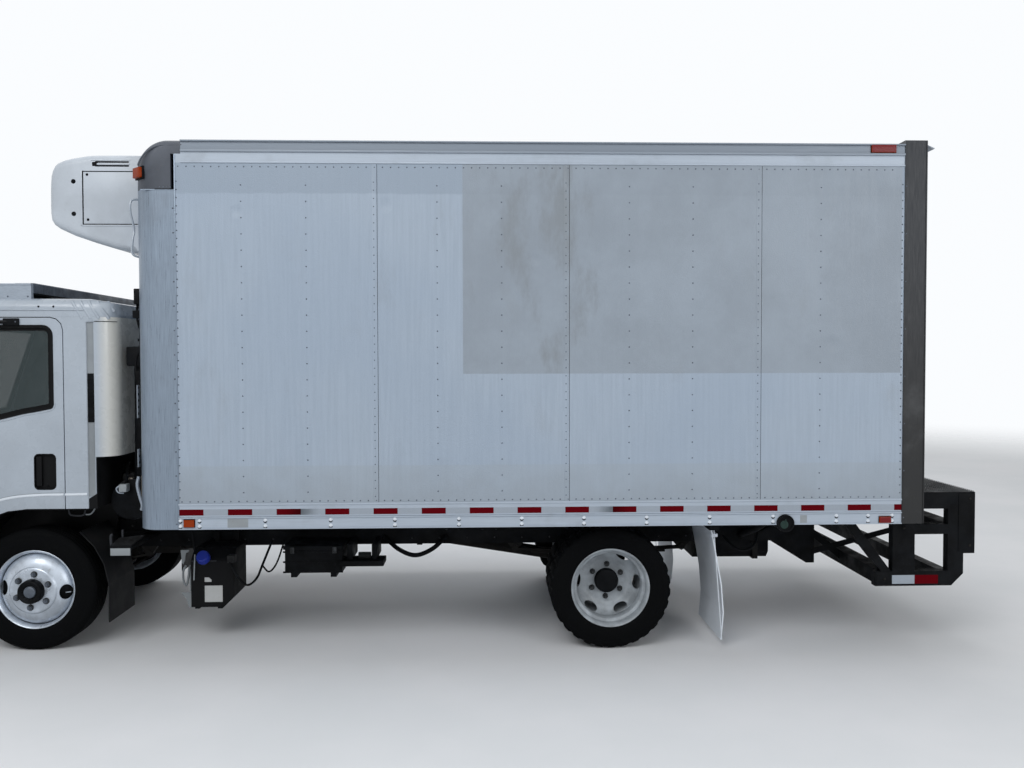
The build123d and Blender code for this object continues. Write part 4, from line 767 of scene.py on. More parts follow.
for side, name in SIDES:
    front = Shape(SILVER, NUT, BLACK, RIVET_GREY, side=side)
    front.lathe([(FRONT_WIDTH + w, r) for w, r in RIM], 0, sides=96)
    holed_disc(front, 0, FRONT_FACE, FRONT_DISC, [(201, -4.6), (201, 175.4)], (34, 50))
    wheel_nuts(front, 0, FRONT_FACE, 23, 21, (5.5, 7.5, 20.5, 26.5), 20, RIVET_GREY)
    front.use(BLACK)
    front.lathe([(950.5, 80), (986, 78), (996, 75), (999, 69), (997, 58), (982, 40)], 0, sides=48)
    front.lathe([(876, 243), (879, 233)], 0, sides=96)
    front.lathe([(862, 240), (905, 170), (925, 140)], 0, sides=72)
    front.use(RIVET_GREY).lathe([(982, 40), (992, 37), (997, 30), (998, 0.5)], 0, sides=32)
    front.use(SILVER).rod((206, 928, HUB - 17), (246, 944, HUB - 9), 3, 8)
    front.finish(f"front_wheel_face_{name}", f"front_wheel_{name}", "wheel_silver", f"front_rim_{name}")

    rear = Shape(REAR_WHEEL_WHITE_AND_SHADE, NUT, BLACK, side=side)
    for y, out in zip(REAR_WIDTHS, (1, -1)):
        rear.lathe([(y + out * w, r) for w, r in RIM], WHEELBASE, sides=96)
    holed_disc(rear, WHEELBASE, REAR_FACE, REAR_DISC, [(203, 60 * n - 2.5) for n in range(6)], (26, 50))
    wheel_nuts(rear, WHEELBASE, REAR_FACE, 27.5, 19, (6.5, 8.5, 24.5, 32.5), 16, NUT)
    rear.use(BLACK)
    rear.lathe([(809.5, 82), (838, 81), (846, 76), (848, 60), (845, 30), (846, 0.5)], WHEELBASE, sides=48)
    rear.lathe([(808, 130), (700, 138), (640, 138)], WHEELBASE, sides=48)
    rear.finish(f"rear_wheel_faces_{name}", f"rear_wheels_{name}", "wheel_white", f"rear_rims_{name}")

    tyre = Shape(RUBBER, side=side)
    tread_tyre(tyre, 0, FRONT_WIDTH, False)
    tyre.finish(f"front_tread_{name}", f"front_wheel_{name}", "tyre", f"front_tyre_{name}", angle=28)
    tyre = Shape(RUBBER, side=side)
    for y in REAR_WIDTHS:
        tread_tyre(tyre, WHEELBASE, y, True)
    tyre.finish(f"rear_treads_{name}", f"rear_wheels_{name}", "tyre", f"rear_tyres_{name}", angle=28)

# Nose cap: crown and corners rolled smoothly, with its lower band and rivets
CROWN = 210


def crown_turn(x, z):
    """Turn round the crown: nothing on the upright front, a quarter on the roof."""
    return min(max(atan2(z - (BOX_TOP - CROWN), BOX_FRONT + CROWN - x), 0), pi / 2)


def rolled(shape, outline, half, radius, steps=6):
    """Closed side outline carried across, its two side edges rounded. The outline runs anticlockwise."""
    count = len(outline)
    normals = []
    for n in range(count):
        (x0, z0), (x1, z1) = outline[n - 1], outline[(n + 1) % count]
        length = hypot(x1 - x0, z1 - z0)
        normals.append(((z1 - z0) / length, (x0 - x1) / length))
    rows = []
    turns = [pi / 2 * n / steps for n in range(steps + 1)]
    for side, order in ((-1, turns[::-1]), (1, turns)):
        for turn in order:
            back = radius * (1 - cos(turn))
            y = side * (half - radius + radius * sin(turn))
            rows.append([place(x - nx * back, y, z - nz * back) for (x, z), (nx, nz) in zip(outline, normals)])
    shape.loops(rows)


cap = Shape(CAP, RIVET_GREY, AMBER, BLACK)
path = [(BOX_FRONT, CAP_LOW + n * 30) for n in range(4)]
path += arc(BOX_FRONT + CROWN, BOX_TOP - CROWN, CROWN, 180, 90, 18)
path += [(BOX_FRONT + 260, BOX_TOP), (CAP_END, BOX_TOP)]
rows = []
for turn in [pi / 2 * n / 8 for n in range(9)]:
    row = []
    for x, z in path:
        bend = crown_turn(x, z)
        radius = 150 - 105 * bend / (pi / 2)
        back = radius * (1 - cos(turn))
        row.append((x + cos(bend) * back, HALF_BOX - radius + radius * sin(turn), z - sin(bend) * back))
    rows.append(row)
for name in cap.both():
    sheet = [[cap.at(*p) for p in row] for row in rows]
    cap.loops(sheet, closed=False, ends=False)
    edge = [cap.mesh.verts.new(p) for p in sheet[-1]]
    cap._face(edge + [cap.mesh.verts.new(cap.at(x, HALF_BOX, z)) for x, z in
                      ((CAP_END, STEP), (POST_END - 24, STEP), (POST_END - 24, CAP_LOW))])
cap.loops([[place(x, side * y, z) for x, y, z in rows[0]] for side in (1, -1)], closed=False, ends=False)
bmesh.ops.remove_doubles(cap.mesh, verts=cap.mesh.verts, dist=1e-5)
bmesh.ops.recalc_face_normals(cap.mesh, faces=cap.mesh.faces)
bmesh.ops.solidify(cap.mesh, geom=cap.mesh.faces[:], thickness=0.03)
for name in cap.both():
    cap.use(RIVET_GREY)
    for n in range(5):
        cap.dome(935 + n * 22, HALF_BOX, CAP_LOW + 12, 4.5, 2.5)
    lip = [(x + 34 * cos(crown_turn(x, z)) + 8, HALF_BOX - 4, z - 34 * sin(crown_turn(x, z))) for x, z in path[7:]]
    cap.use(CAP).pipe(lip, 6, 6, 1)
    corner = cap.at(BOX_FRONT + 44, HALF_BOX - 44, 3092)
    cap.use(BLACK).panel(corner, (-1, cap.side, 0), 52, 40, 4, 8, 3)
    cap.use(AMBER).panel(corner, (-1, cap.side, 0), 44, 32, 4, 28, 6)
cap.finish("nose_cap_shell", "chassis", "dark_grey", "nose_cap", merge=False)

# Corner posts, rear frame and roof: rivets, edge strips, sealing bead, roof bows
posts = Shape(RIVET_GREY, POST, SEAL, STAINLESS_PAINTED_REFLECTION, ROOF)
for name in posts.both():
    for count, x, z, pitch in ((14, POST_END - 12, BOX_LOW + 35, 152.4), (8, FRAME_FRONT + 10, BOX_LOW + 40, 304.8)):
        for n in range(count):
            posts.use(RIVET_GREY).dome(x, HALF_BOX, z + n * pitch, 5.5, 3)
    posts.plates(HALF_BOX, (
        (POST, POST_END - 3, POST_END + 5, 0, 4, BOX_LOW + 2, STEP - 2, 1.5),
        (POST, BOX_FRONT + 60, POST_END - 2, 2, 1.5, CAP_LOW - 8, CAP_LOW - 1, 1),
        (SEAL, BOX_FRONT + 150, POST_END - 4, 3, 2.5, CAP_LOW - 3, CAP_LOW + 2, 1),
        (STAINLESS_PAINTED_REFLECTION, FRAME_FRONT - 2, FRAME_FRONT + 7, 0, 5, BOX_LOW + 1, 3312, 1.5),
        (STAINLESS_PAINTED_REFLECTION, BOX_REAR - 8, BOX_REAR, 0, 4, BOX_LOW + 1, 3312, 1.5)))
posts.use(ROOF).prism([(BOX_REAR, 3300), (BOX_REAR, 3306), (5886, 3277), (5884, 3271)], -1180, 1180, 1)
for n in range(9):
    posts.box(CAP_END + 500 + n * 500, CAP_END + 540 + n * 500, -1185, 1185, BOX_TOP - 1, BOX_TOP + 4, 2)
posts.finish("post_and_roof_trim", "chassis", "bare_aluminium")

# Box front: ribs, conduits, perforated straps, drain hoses and connection boxes
nose = Shape(WALL_RIGHT, BLACK, CAB_WHITE, GREY)
for y in range(-900, 901, 300):
    nose.box(BOX_FRONT - 6, BOX_FRONT, y - 22, y + 22, BOX_LOW + 5, CAP_LOW - 8, 3)
nose.use(GREY).box(BOX_FRONT - 90, BOX_FRONT, 300, 620, 1500, 1900, 12)
nose.box(BOX_FRONT - 55, BOX_FRONT, -420, -180, 2050, 2300, 8)
CONDUIT = 1030


def from_wall(*points):
    """Points given as reach ahead of the box's front, reach towards the middle from the conduit, and height."""
    return [(BOX_FRONT - x, CONDUIT - y, z) for x, y, z in points]


for name in nose.both():
    nose.use(BLACK).pipe(from_wall((16, 0, 2370), (17, 0, 1900), (16, 0, 1500), (30, 60, 1120), (20, 160, 870)),
                         13, 10, 6)
    for z in (2340, 2050, 1800, 1500):
        nose.box(BOX_FRONT - 34, BOX_FRONT, CONDUIT - 20, CONDUIT + 20, z - 9, z + 9, 2)
    for x, y0, y1, low, high, bevel in ((60, 34, 12, 2190, 2240, 6), (52, 30, 16, 2280, 2380, 6),
                                        (48, 26, 20, 1790, 1850, 5)):
        nose.box(BOX_FRONT - x, BOX_FRONT - 4, CONDUIT - nose.side * y0, CONDUIT + nose.side * y1, low, high, bevel)
    nose.pipe(from_wall((40, 8, 2280), (62, 50, 2210), (50, 70, 2120), (12, 75, 2060)), 8, 8, 5)
    nose.pipe(from_wall((40, 4, 1800), (70, 40, 1860), (66, 60, 1950), (10, 62, 2000)), 8, 8, 5)
    for low, high in ((1546, 1759), (1228, 1345)):
        nose.use(CAB_WHITE).box(BOX_FRONT - 44, BOX_FRONT - 40, CONDUIT - nose.side * 18, CONDUIT + nose.side * 16,
                                low, high, 1)
        nose.use(BLACK)
        for z in range(low + 20, low + 20 + 42 * int((high - low) / 42), 42):
            nose.box(BOX_FRONT - 45, BOX_FRONT - 39, CONDUIT - nose.side * 7, CONDUIT + nose.side * 5, z, z + 16)
    nose.use(CAB_WHITE).pipe(from_wall((4, -22, 2950), (44, -60, 2935), (50, -66, 2870), (38, -40, 2760),
                                       (42, -52, 2690), (44, -52, 2600), (4, -20, 2578)), 7, 8, 6)
nose.finish("box_front_fittings", "chassis", "black_plastic")

# Fuel filler beside the rail
FILLER_X, FILLER_Z = 4911, 861
filler = Shape(BLACK, GREEN)
filler.lathe([(-1060, 40), (-1090, 52), (-1150, 54), (-1224, 57), (-1234, 57), (-1237, 53), (-1236, 46),
              (-1229, 43), (-1229, 0.5)], FILLER_X, FILLER_Z, 32)
filler.pipe([(FILLER_X, -1080, FILLER_Z), (FILLER_X, -900, 840), (4900, -700, 740), (4860, -440, 640),
             (4850, -330, 600)], 28, 12, 6)
filler.box(4880, 4942, -1150, -1080, 850, 935, 4)
filler.use(GREEN).rod((4903, -1229, 853), (4903, -1232, 853), 26, 20)
filler.box(4908, 4915, -1236, -1229, 834, 888, 2)
filler.finish("fuel_filler", "chassis", "black_plastic")

# Cooling unit: rounded shell, access panels, slots, holes and front grille
HALF_UNIT = 950
unit = Shape(UNIT_WHITE, BLACK, SEAL)
curve = [(BOX_FRONT, 2612), (BOX_FRONT, 3258), (600, 3262), (430, 3260), (385, 3256), (300, 3242), (240, 3228),
         (200, 3210), (178, 3190), (162, 3160), (152, 3120), (147, 3060), (145, 2960), (146, 2880), (152, 2834),
         (170, 2806), (205, 2780), (300, 2736), (440, 2688), (560, 2652), (680, 2626)]
rolled(unit, curve, HALF_UNIT, 46)
for name in unit.both():
    unit.plates(HALF_UNIT, (
        (SEAL, 364, 371, 1, 0.8, 2806, 3152, 0), (SEAL, 364, BOX_FRONT, 1, 0.8, 3146, 3152, 0),
        (SEAL, 364, BOX_FRONT, 1, 0.8, 2804, 2809, 0), (UNIT_WHITE, 373, BOX_FRONT, 1, 2.5, 2811, 3144, 2),
        (UNIT_WHITE, 352, 364, 1, 4, 2796, 3160, 2), (UNIT_WHITE, 352, BOX_FRONT, 1, 4, 2794, 2803, 2),
        (BLACK, 446, 668, 10, 0.8, 3203, 3218, 5), (BLACK, 446, 668, 10, 0.8, 3178, 3193, 5),
        (BLACK, 426, 470, 10, 0.6, 3180, 3214, 12), (UNIT_WHITE, 460, 670, 1, 3, 3192, 3203, 2),
        (UNIT_WHITE, 420, 676, 1, 3, 3219, 3225, 2)))
    for x, proud, z, radius, height, sides in (
            (396, 2.5, 3128, 9, 4, 12), (399, 2.5, 2836, 9, 4, 12), (307, -0.5, 3084, 17, 2, 16),
            (307, 0, 3084, 10, 4, 12), (307, -0.5, 2874, 17, 2, 16), (307, 0, 2874, 10, 4, 12)):
        unit.use(BLACK).dome(x, HALF_UNIT + proud, z, radius, height, sides)
unit.finish("cooling_unit_shell", "chassis", "unit_white", "reefer_unit", angle=28)

grille = Shape(BLACK, GREY, UNIT_WHITE)
grille.box(136, 150, -730, 730, 2855, 3085, 6)
grille.use(GREY)
for n in range(9):
    z = 2876 + n * 23.5
    grille.prism([(124, z - 7), (138, z + 5), (138, z + 9), (124, z - 3)], -715, 715)
for y in (-722, -240, 240, 722):
    grille.box(122, 140, y - 7, y + 7, 2858, 3082, 2)
grille.use(UNIT_WHITE)
for z in (2846, 3094):
    grille.box(128, 148, -745, 745, z - 8, z + 8, 4)
for y in (-745, 745):
    grille.box(128, 148, y - 8, y + 8, 2840, 3100, 4)
grille.finish("cooling_unit_grille", "chassis", "black_plastic", "reefer_grille")

# Cab skin, guards and posts: the CAD faces with their points joined
for piece, node, body, finish, slot in (
        ("cab_rear_skin", "cab_rear", "cab", CAB_REAR_PAINTED_LIGHT, "cab_white"),
        ("cab_roof_skin", "cab_roof", "cab", CAB_WHITE, "cab_white"),
        ("cab_front_skin", "cab_front", "cab", CAB_WHITE, "cab_white"),
        ("door_left_skin", "door_left", "door_left", CAB_WHITE, "cab_white"),
        ("door_right_skin", "door_right", "door_right", CAB_WHITE, "cab_white"),
        ("mudguard_skin", "mudguards", "chassis", PLASTIC, "black_plastic"),
        ("corner_post_skin", "corner_posts", "chassis", POST, "bare_aluminium")):
    joined(piece, node, body, finish, slot)

# Cab side: rain gutter, seals, handles, creases, vents, roof ribs and mirror glass
WINDOW = [(-835, 1490), (-595, 2145)] + arc(115, 2082, 65, 90, 0, 6) + [
    (180, 1632), (172, 1612), (158, 1606), (80, 1590), (-14, 1574), (-174, 1535)]


def inset(points, amount):
    """Outline moved outwards by an amount in its own plane."""
    after = points[1:] + points[:1]
    turn = 1 if sum(a[0] * b[1] - b[0] * a[1] for a, b in zip(points, after)) > 0 else -1
    normals = []
    for (x0, z0), (x1, z1) in zip(points, after):
        length = hypot(x1 - x0, z1 - z0) * turn
        normals.append(((z1 - z0) / length, (x0 - x1) / length))
    moved = []
    for (x, z), (ax, az), (bx, bz) in zip(points, normals[-1:] + normals[:-1], normals):
        reach = amount / (1 + ax * bx + az * bz)
        moved.append((x + reach * (ax + bx), z + reach * (az + bz)))
    return moved


def border(shape, points, outer, inner, sunk, proud):
    """Frame of a side outline between two offsets, from so far inside the cab's skin to so far outside."""
    rows = []
    for amount, y in ((outer, sunk), (outer, proud), (inner, proud), (inner, sunk), (outer, sunk)):
        rows.append([shape.at(x, HALF_CAB + y, z) for x, z in inset(points, amount)])
    shape.loops(rows, ends=False)


def cab_side(x, z):
    """Half width of the cab's skin at a station and height near its rear upper corner."""
    corner, edge = 130, 66
    flat = HALF_CAB if x < 441 else HALF_CAB - corner + sqrt(max(corner ** 2 - (x - 441) ** 2, 0))
    roof = 2321 + (x - 400) * (2290 - 2321) / 171 if x > 400 else 2325
    rise = z - (roof - edge)
    return flat - (edge - sqrt(max(edge ** 2 - rise ** 2, 0)) if rise > 0 else 0)


CREASE = [(-440, 857), (-370, 915), (-300, 959), (-240, 987), (-177, 1010), (-100, 1027), (-20, 1037), (79, 1043),
          (160, 1045), (236, 1045)]
SILL = [(-826, 1478), (-500, 1497), (-174, 1523), (-14, 1562), (80, 1578), (158, 1594), (184, 1612), (190, 1640)]
HANDLE = [p for x, z, a in ((160, 1282, 0), (80, 1282, 90), (80, 1108, 180), (160, 1108, 270))
          for p in arc(x, z, 28, a, a + 90, 5)]

for side, name in SIDES:
    trim = Shape(CAB_WHITE, SEAL, BLACK, GREY, PAINTED_SHADE_GREY, FLAP, side=side)
    trim.box(-560, 385, HALF_CAB - 2, HALF_CAB + 7, 2244, 2252, 3)
    for x in range(300, 509, 52):
        rib = [(x + d, z) for d, z in ((0, 2300), (20, 2276), (42, 2240), (62, 2208), (70, 2190)) if x + d < 560]
        trim.pipe([(u, cab_side(u, z) - 8, z) for u, z in rib], 12, 12, 3)
    trim.plates(HALF_CAB, [(CAB_WHITE, 439, 444, 13, -6, 1050, 2166, 2), (BLACK, 396, 440, 12, -5, 1516, 1834, 9)]
                + [(BLACK, 399, 437, 6, -2, z, z + 8, 1.5) for z in range(1532, 1797, 22)])
    for x in (95, 190):
        trim.dome(x, HALF_CAB + 1, 2268, 7, 4)
    trim.use(SEAL).pipe([(x, cab_side(x, 2172), 2172) for x in (445, 470, 495, 520, 545, 562)], 2.2, 6, 2)
    arch = arc(0, HUB, 549, 168, 90, 13) + [(120, 951), (390, 951)]
    trim.pipe([(x, HALF_CAB - 9, z) for x, z in arch], 8, 8, 1)
    trim.box(443, 448, 985, 20, 952, 1289, 1)
    # Black over the recessed strip's lower end: painted shade.
    trim.prism([(393.5, 950), (447.6, 950), (447.6, 1049), (393.5, 1016)], HALF_CAB - 13, HALF_CAB - 10)
    # The pale crease behind the door is a painted highlight along the feature line.
    trim.use(FLAP).pipe([(246, HALF_CAB - 3, 1045), (388, HALF_CAB - 3, 1047)], 9, 10, 1)
    trim.use(GREY).pipe([(236, 930, 955), (238, 930, 912), (258, 930, 897), (318, 930, 896), (338, 930, 912),
                         (346, 930, 955)], 5.5, 8, 5)
    # Grey over the recessed strip behind the door: painted shade.
    trim.use(PAINTED_SHADE_GREY).box(394, 441, HALF_CAB - 13, HALF_CAB - 11, 1030, 2168)
    trim.pipe([(346, 932, 903), (374, 932, 905), (396, 932, 926), (409, 932, 955), (420, 932, 1000)], 5, 8, 4)
    trim.finish(f"cab_side_trim_{name}", "cab", "cab_white")

    door = Shape(SEAL, BLACK, CAB_WHITE, RIVET_GREY, PAINTED_SHADE_GREY, FLAP, side=side)
    border(door, WINDOW, 3, -15, -12, 3)
    border(door, WINDOW, -16, -34, -13, -11)
    door.loops([[door.at(x, w, z) for x, z in HANDLE] for w in (HALF_CAB - 21.5, HALF_CAB - 19)])
    border(door, HANDLE, 3, -2.5, -21.5, 1.2)
    door.box(60, 98, HALF_CAB - 20, HALF_CAB - 1, 1100, 1296, 8)
    door.use(CAB_WHITE).pipe([(x, HALF_CAB - 0.5, z) for x, z in SILL], 5, 8, 3)
    for x, z, first in ((190, 1312, 0), (50, 1312, 6), (50, 1078, 12), (190, 1078, 18)):
        corner = HANDLE[first:first + 6] + [(x, z)]
        door.loops([[door.at(u, w, v) for u, v in corner] for w in (HALF_CAB - 21, HALF_CAB + 0.2)])
    # The crease in pale material is a painted highlight; the thin grey line just above it is a painted shadow.
    door.use(FLAP).pipe([(x, HALF_CAB - 3, z) for x, z in CREASE], 9, 10, 2)
    door.use(PAINTED_SHADE_GREY).pipe([(x, HALF_CAB - 0.8, z + 12) for x, z in CREASE], 1.6, 6, 2)
    door.use(BLACK).dome(128, HALF_CAB - 19, 1100, 9, 6, 12)
    door.box(-128, -27, HALF_CAB - 1, HALF_CAB + 16, 2146, 2192, 6)
    for x in (-110, -46):
        door.use(RIVET_GREY).dome(x, HALF_CAB + 16, 2169, 6, 4, 6)
    door.finish(f"door_trim_{name}", f"door_{name}", "cab_white")
    mirror = Shape(MIRROR_GLASS, GREY, side=side)
    for low, high in ((1700, 1980), (1510, 1680)):
        mirror.box(-599, -596, HALF_CAB + 210, HALF_CAB + 400, low, high, 1)
    mirror.use(GREY).box(-600, -597, HALF_CAB + 206, HALF_CAB + 404, 1506, 1984, 1)
    mirror.finish(f"mirror_face_{name}", f"door_{name}", "glass")


def screen(z):
    """Station of the windscreen's outer face at a height."""
    return -1120 + (z - 1440) * 305 / 785


# Cab face: screen seal, wipers, grille, lamp frames and lamps
face = Shape(BLACK, GREY, SEAL)
ring = [(-850, 1500), (850, 1500), (800, 2170), (-800, 2170)]
rows = []
for amount, proud in ((10, 0), (10, 5), (-24, 5), (-24, -12), (10, 0)):
    rows.append([place(screen(z) - proud, w, z) for w, z in inset(ring, amount)])
face.use(SEAL).loops(rows, ends=False)
face.box(-1184, -1181, -860, 860, 1312, 1316)
face.use(BLACK)
for start, end in ((-560, 40), (60, 640)):
    middle = (start + end) / 2
    face.rod((screen(1480) - 26, start, 1476), (screen(1480) - 26, start, 1500), 16, 12)
    face.pipe([(screen(1490) - 22, start, 1490), (screen(1515) - 26, middle, 1540),
               (screen(1600) - 22, end - 60, 1600)], 6, 8, 4)
    face.pipe([(screen(1530) - 11, start + 60, 1530), (screen(1575) - 11, middle, 1562),
               (screen(1640) - 11, end, 1640)], 5, 6, 3)
face.box(-1192, -1180, -560, 560, 1120, 1290, 8)
face.box(-1166, -1150, -520, 520, 720, 800, 8)
for name in face.both():
    for y0, y1, z0, z1 in ((588, 604, 776, 984), (918, 930, 776, 984), (588, 930, 776, 788), (588, 930, 972, 984)):
        face.box(-1203, -1184, y0, y1, z0, z1, 3)
for n in range(5):
    face.use(GREY).box(-1198, -1188, -545, 545, 1136 + n * 30, 1147 + n * 30, 4)
face.finish("cab_face", "cab", "black_plastic")
lamps = Shape(BLACK, REFLECTOR, AMBER, CLEAR, LAMP_COVER)
for name in lamps.both():
    lamps.use(BLACK).box(-1178, -1150, 602, 920, 786, 974, 10)
    for y, r in ((680, 62), (796, 50)):
        bowl = ((-1177, r + 3), (-1195, r + 3), (-1195, r), (-1189, r * 0.9), (-1183, r * 0.66), (-1179, r * 0.35),
                (-1178.5, 4))
        lamps.use(REFLECTOR).loops([circle(lamps.at(x, y, 880), Y, Z, reach, 36) for x, reach in bowl])
        lamps.use(CLEAR).rod((-1180, y, 880), (-1191, y, 880), 10, 16, 8)
    lamps.use(AMBER).box(-1196, -1176, 866, 912, 796, 964, 8)
    lamps.use(LAMP_COVER).box(-1201, -1198, 604, 918, 788, 972, 1)
lamps.finish("headlamp_units", "cab", "lamp_glass", "headlamps")

# Roof deflector: the ribbed cross bar, a lower tube and its brackets
spoiler = Shape(ALUMINIUM, BLACK, RIVET_GREY)
spoiler.use(RIVET_GREY).box(-92, 31, -930, 930, 2350, 2421.5, 3)
for n in range(92):
    y = -920 + n * 20.2
    spoiler.box(-92, 33, y, y + 7, 2364, 2426, 1)
spoiler.use(BLACK).box(-93, 34, -931, 931, 2348, 2361, 2)
spoiler.rod((6, -925, 2334), (6, 925, 2334), 9, 10)
for y in (-600, -200, 200, 600):
    spoiler.box(-6, 18, y - 10, y + 10, 2326, 2352, 2)
for name in spoiler.both():
    for x in (-260, -120, 8):
        spoiler.use(RIVET_GREY).dome(x, 960, 2336, 6, 3)
    spoiler.use(ALUMINIUM).box(-390, 30, 958, 964, 2410, 2421, 2)
spoiler.finish("deflector_details", "cab", "bare_aluminium")

# Space behind the cab: support hoop, air cleaner, duct, bottle, clipped pipes and steps
gap = Shape(BLACK, STEEL, GREY, BARE, CAST, GREY_LABEL, ALUMINIUM, TREAD)
STEP_CORNERS = ((524, 984, 704), (657, 984, 704), (706, 880, 754), (556, 920, 742))
gap.box(486, 546, -425, 425, 1170, 1232, 8)
gap.lathe([(-860, 0.5), (-860, 120), (-852, 132), (-560, 132), (-545, 120), (-545, 0.5)], 610, 985, 28)
gap.pipe([(610, -545, 985), (600, -440, 1010), (540, -260, 1120), (450, -180, 1130)], 55, 14, 6)
gap.pipe([(640, -760, 1110), (660, -790, 1300), (668, -800, 1640), (668, -800, 1900)], 42, 14, 6)
gap.box(600, 736, -880, -720, 1880, 2010, 12)
gap.use(GREY)
for y in (-820, -700, -590):
    gap.lathe([(y, 132), (y, 136), (y - 12, 136), (y - 12, 132)], 610, 985, 28)
gap.use(GREY_LABEL).box(568, 622, -955, -890, 1050, 1104, 12)
gap.use(ALUMINIUM).pipe([(690, -922, 1150), (684, -932, 1095), (700, -934, 1020), (716, -934, 962),
                         (706, -925, 930)], 11, 10, 6)
gap.pipe([(566, -930, 1090), (548, -935, 1072), (560, -930, 1046), (590, -920, 1040)], 5, 8, 5)
gap.use(BLACK).rod((595, -922, 1104), (595, -922, 1120), 15, 14)
for a, b, r in (((430, -600, 1060), (560, -760, 1150), 12), ((470, -500, 1180), (600, -900, 1090), 9)):
    gap.pipe([a, ((a[0] + b[0]) / 2, (a[1] + b[1]) / 2, max(a[2], b[2]) + 40), b], r, 8, 6)
for finish, y, z in ((STEEL, -640, 900), (BLACK, -700, 870), (BLACK, -560, 930)):
    gap.use(finish).pipe([(440, y + 40, z + 90), (560, y, z), (700, y - 20, z - 40), (820, y + 60, z - 90),
                          (960, y + 140, z - 130)], 9, 8, 6)
gap.use(CAST).box(520, 620, -760, -640, 1090, 1150, 10)
gap.use(BARE).box(560, 610, -820, -780, 1060, 1130, 8)
gap.pipe([(700, -880, 1150), (706, -900, 1080), (700, -880, 1010), (690, -800, 960)], 10, 8, 6)
for name in gap.both():
    gap.use(TREAD).loops([[gap.at(x, w, z - d) for x, w, z in STEP_CORNERS] for d in (0, 7)])
    for n in range(6):
        a, b = n / 6 + 0.05, n / 6 + 0.11
        bar = [(524 + 32 * t, 984 - 64 * t, 704 + 38 * t) for t in (a, b)]
        bar += [(657 + 49 * t, 984 - 104 * t, 704 + 50 * t) for t in (b, a)]
        gap.loops([[gap.at(x, w, z + d) for x, w, z in bar] for d in (-1, 4)])
    gap.use(GREY_LABEL).box(526, 655, 992, 986, 640, 688, 3)
    gap.use(BLACK).box(520, 660, 986, 978, 634, 706, 3)
    gap.box(545, 640, 978, 430, 664, 688, 4)
    gap.box(486, 546, 425, 365, 773, 1230, 6)
    gap.box(470, 562, 427, 405, 640, 790, 4)
    gap.prism([(560, 744), (600, 744), (640, 690), (545, 690)], 910, 902)
    gap.use(GREY).pipe([(520, 960, 700), (518, 960, 764), (530, 960, 772)], 9, 8, 3)
    gap.box(564, 576, 905, 890, 742, 794, 3)
    gap.use(STEEL).rod((516, 395, 1230), (516, 395, 1272), 34, 16)
gap.use(GREY_LABEL)
for y, outline in ((-604, ((848, 590), (906, 590), (904, 574), (884, 570), (878, 515), (864, 488), (856, 500),
                           (850, 572))),
                   (-596, ((846, 292), (924, 290), (922, 205), (912, 176), (896, 190), (880, 250), (852, 272)))):
    gap.prism(outline, y, y + 8, 1.5)
gap.pipe([(884, -600, 480), (866, -606, 440), (868, -606, 372), (886, -606, 342), (900, -606, 390),
          (906, -600, 470)], 8, 8, 5)
gap.pipe([(908, -590, 480), (914, -596, 400), (910, -590, 296)], 7, 8, 3)
gap.finish("cab_support_and_pipes", "chassis", "black_plastic")

# Front bumper: wrapped shell with a lower opening, lamps, tow covers and a blank plate
bumper = Shape(CAB_WHITE, BLACK, GREY, LABEL, CLEAR, NUT)
BUMPER_FRONT = -1224


def bumper_plan(sunk):
    """Outline from the left end round to the right, set in from the bumper's outer face."""
    half = [(-899, 1000 - sunk), (-1000, 1000 - sunk)]
    half += arc(BUMPER_FRONT + 190, 810, 190 - sunk, 90, 180, 10) + [(BUMPER_FRONT + sunk, 600)]
    return half + [(x, -w) for x, w in reversed(half)]


rows = []
for (x, w), (u, v) in zip(bumper_plan(0), bumper_plan(20)):
    rows.append([place(x + (u - x) * back, w + (v - w) * back, z) for z, back in (
        (595, 0.5), (590, 0.15), (575, 0), (430, 0), (408, 0.15), (397, 0.6), (399, 1), (593, 1))])
bumper.loops(rows)
bumper.use(BLACK).box(BUMPER_FRONT - 2, BUMPER_FRONT + 6, -430, 430, 424, 504, 3)
for n in range(3):
    bumper.use(GREY).box(BUMPER_FRONT - 4, BUMPER_FRONT + 2, -420, 420, 434 + n * 22, 443 + n * 22, 2)
bumper.use(LABEL).box(BUMPER_FRONT - 4.5, BUMPER_FRONT + 2, -155, 155, 514, 584, 2)
for name in bumper.both():
    for finish, y, z, proud, sunk, radius, sides in (
            (NUT, 620, 480, 1, 8, 48, 32), (CLEAR, 620, 480, 4, 4, 40, 32), (BLACK, 500, 548, 2, 4, 22, 24)):
        bumper.use(finish).rod((BUMPER_FRONT - proud, y, z), (BUMPER_FRONT + sunk, y, z), radius, sides)
bumper.finish("front_bumper_shell", "chassis", "cab_white", "front_bumper")


def grating(shape, x0, x1, half, z, tooth):
    """Walkway of toothed bars across the truck, its teeth standing on a flat z."""
    count, steps = int((x1 - x0) / 30), int(2 * half / 25)
    outline = []
    for m in range(steps):
        y = -half + m * 2 * half / steps
        outline += [(y, z + 2), (y + 6, z + tooth), (y + 19, z + tooth), (y + 24, z + 2)]
    outline += [(half, z + 2), (half, z - 1), (-half, z - 1)]
    for n in range(count + 1):
        x = x0 + n * (x1 - x0) / count
        shape.loops([[place(u, w, v) for w, v in outline] for u in (x - 2, x + 2)], ends=False)
        shape.loops([[place(u, -half, z - 1), place(u, half, z - 1)] for u in (x - 2, x + 2)], closed=False)


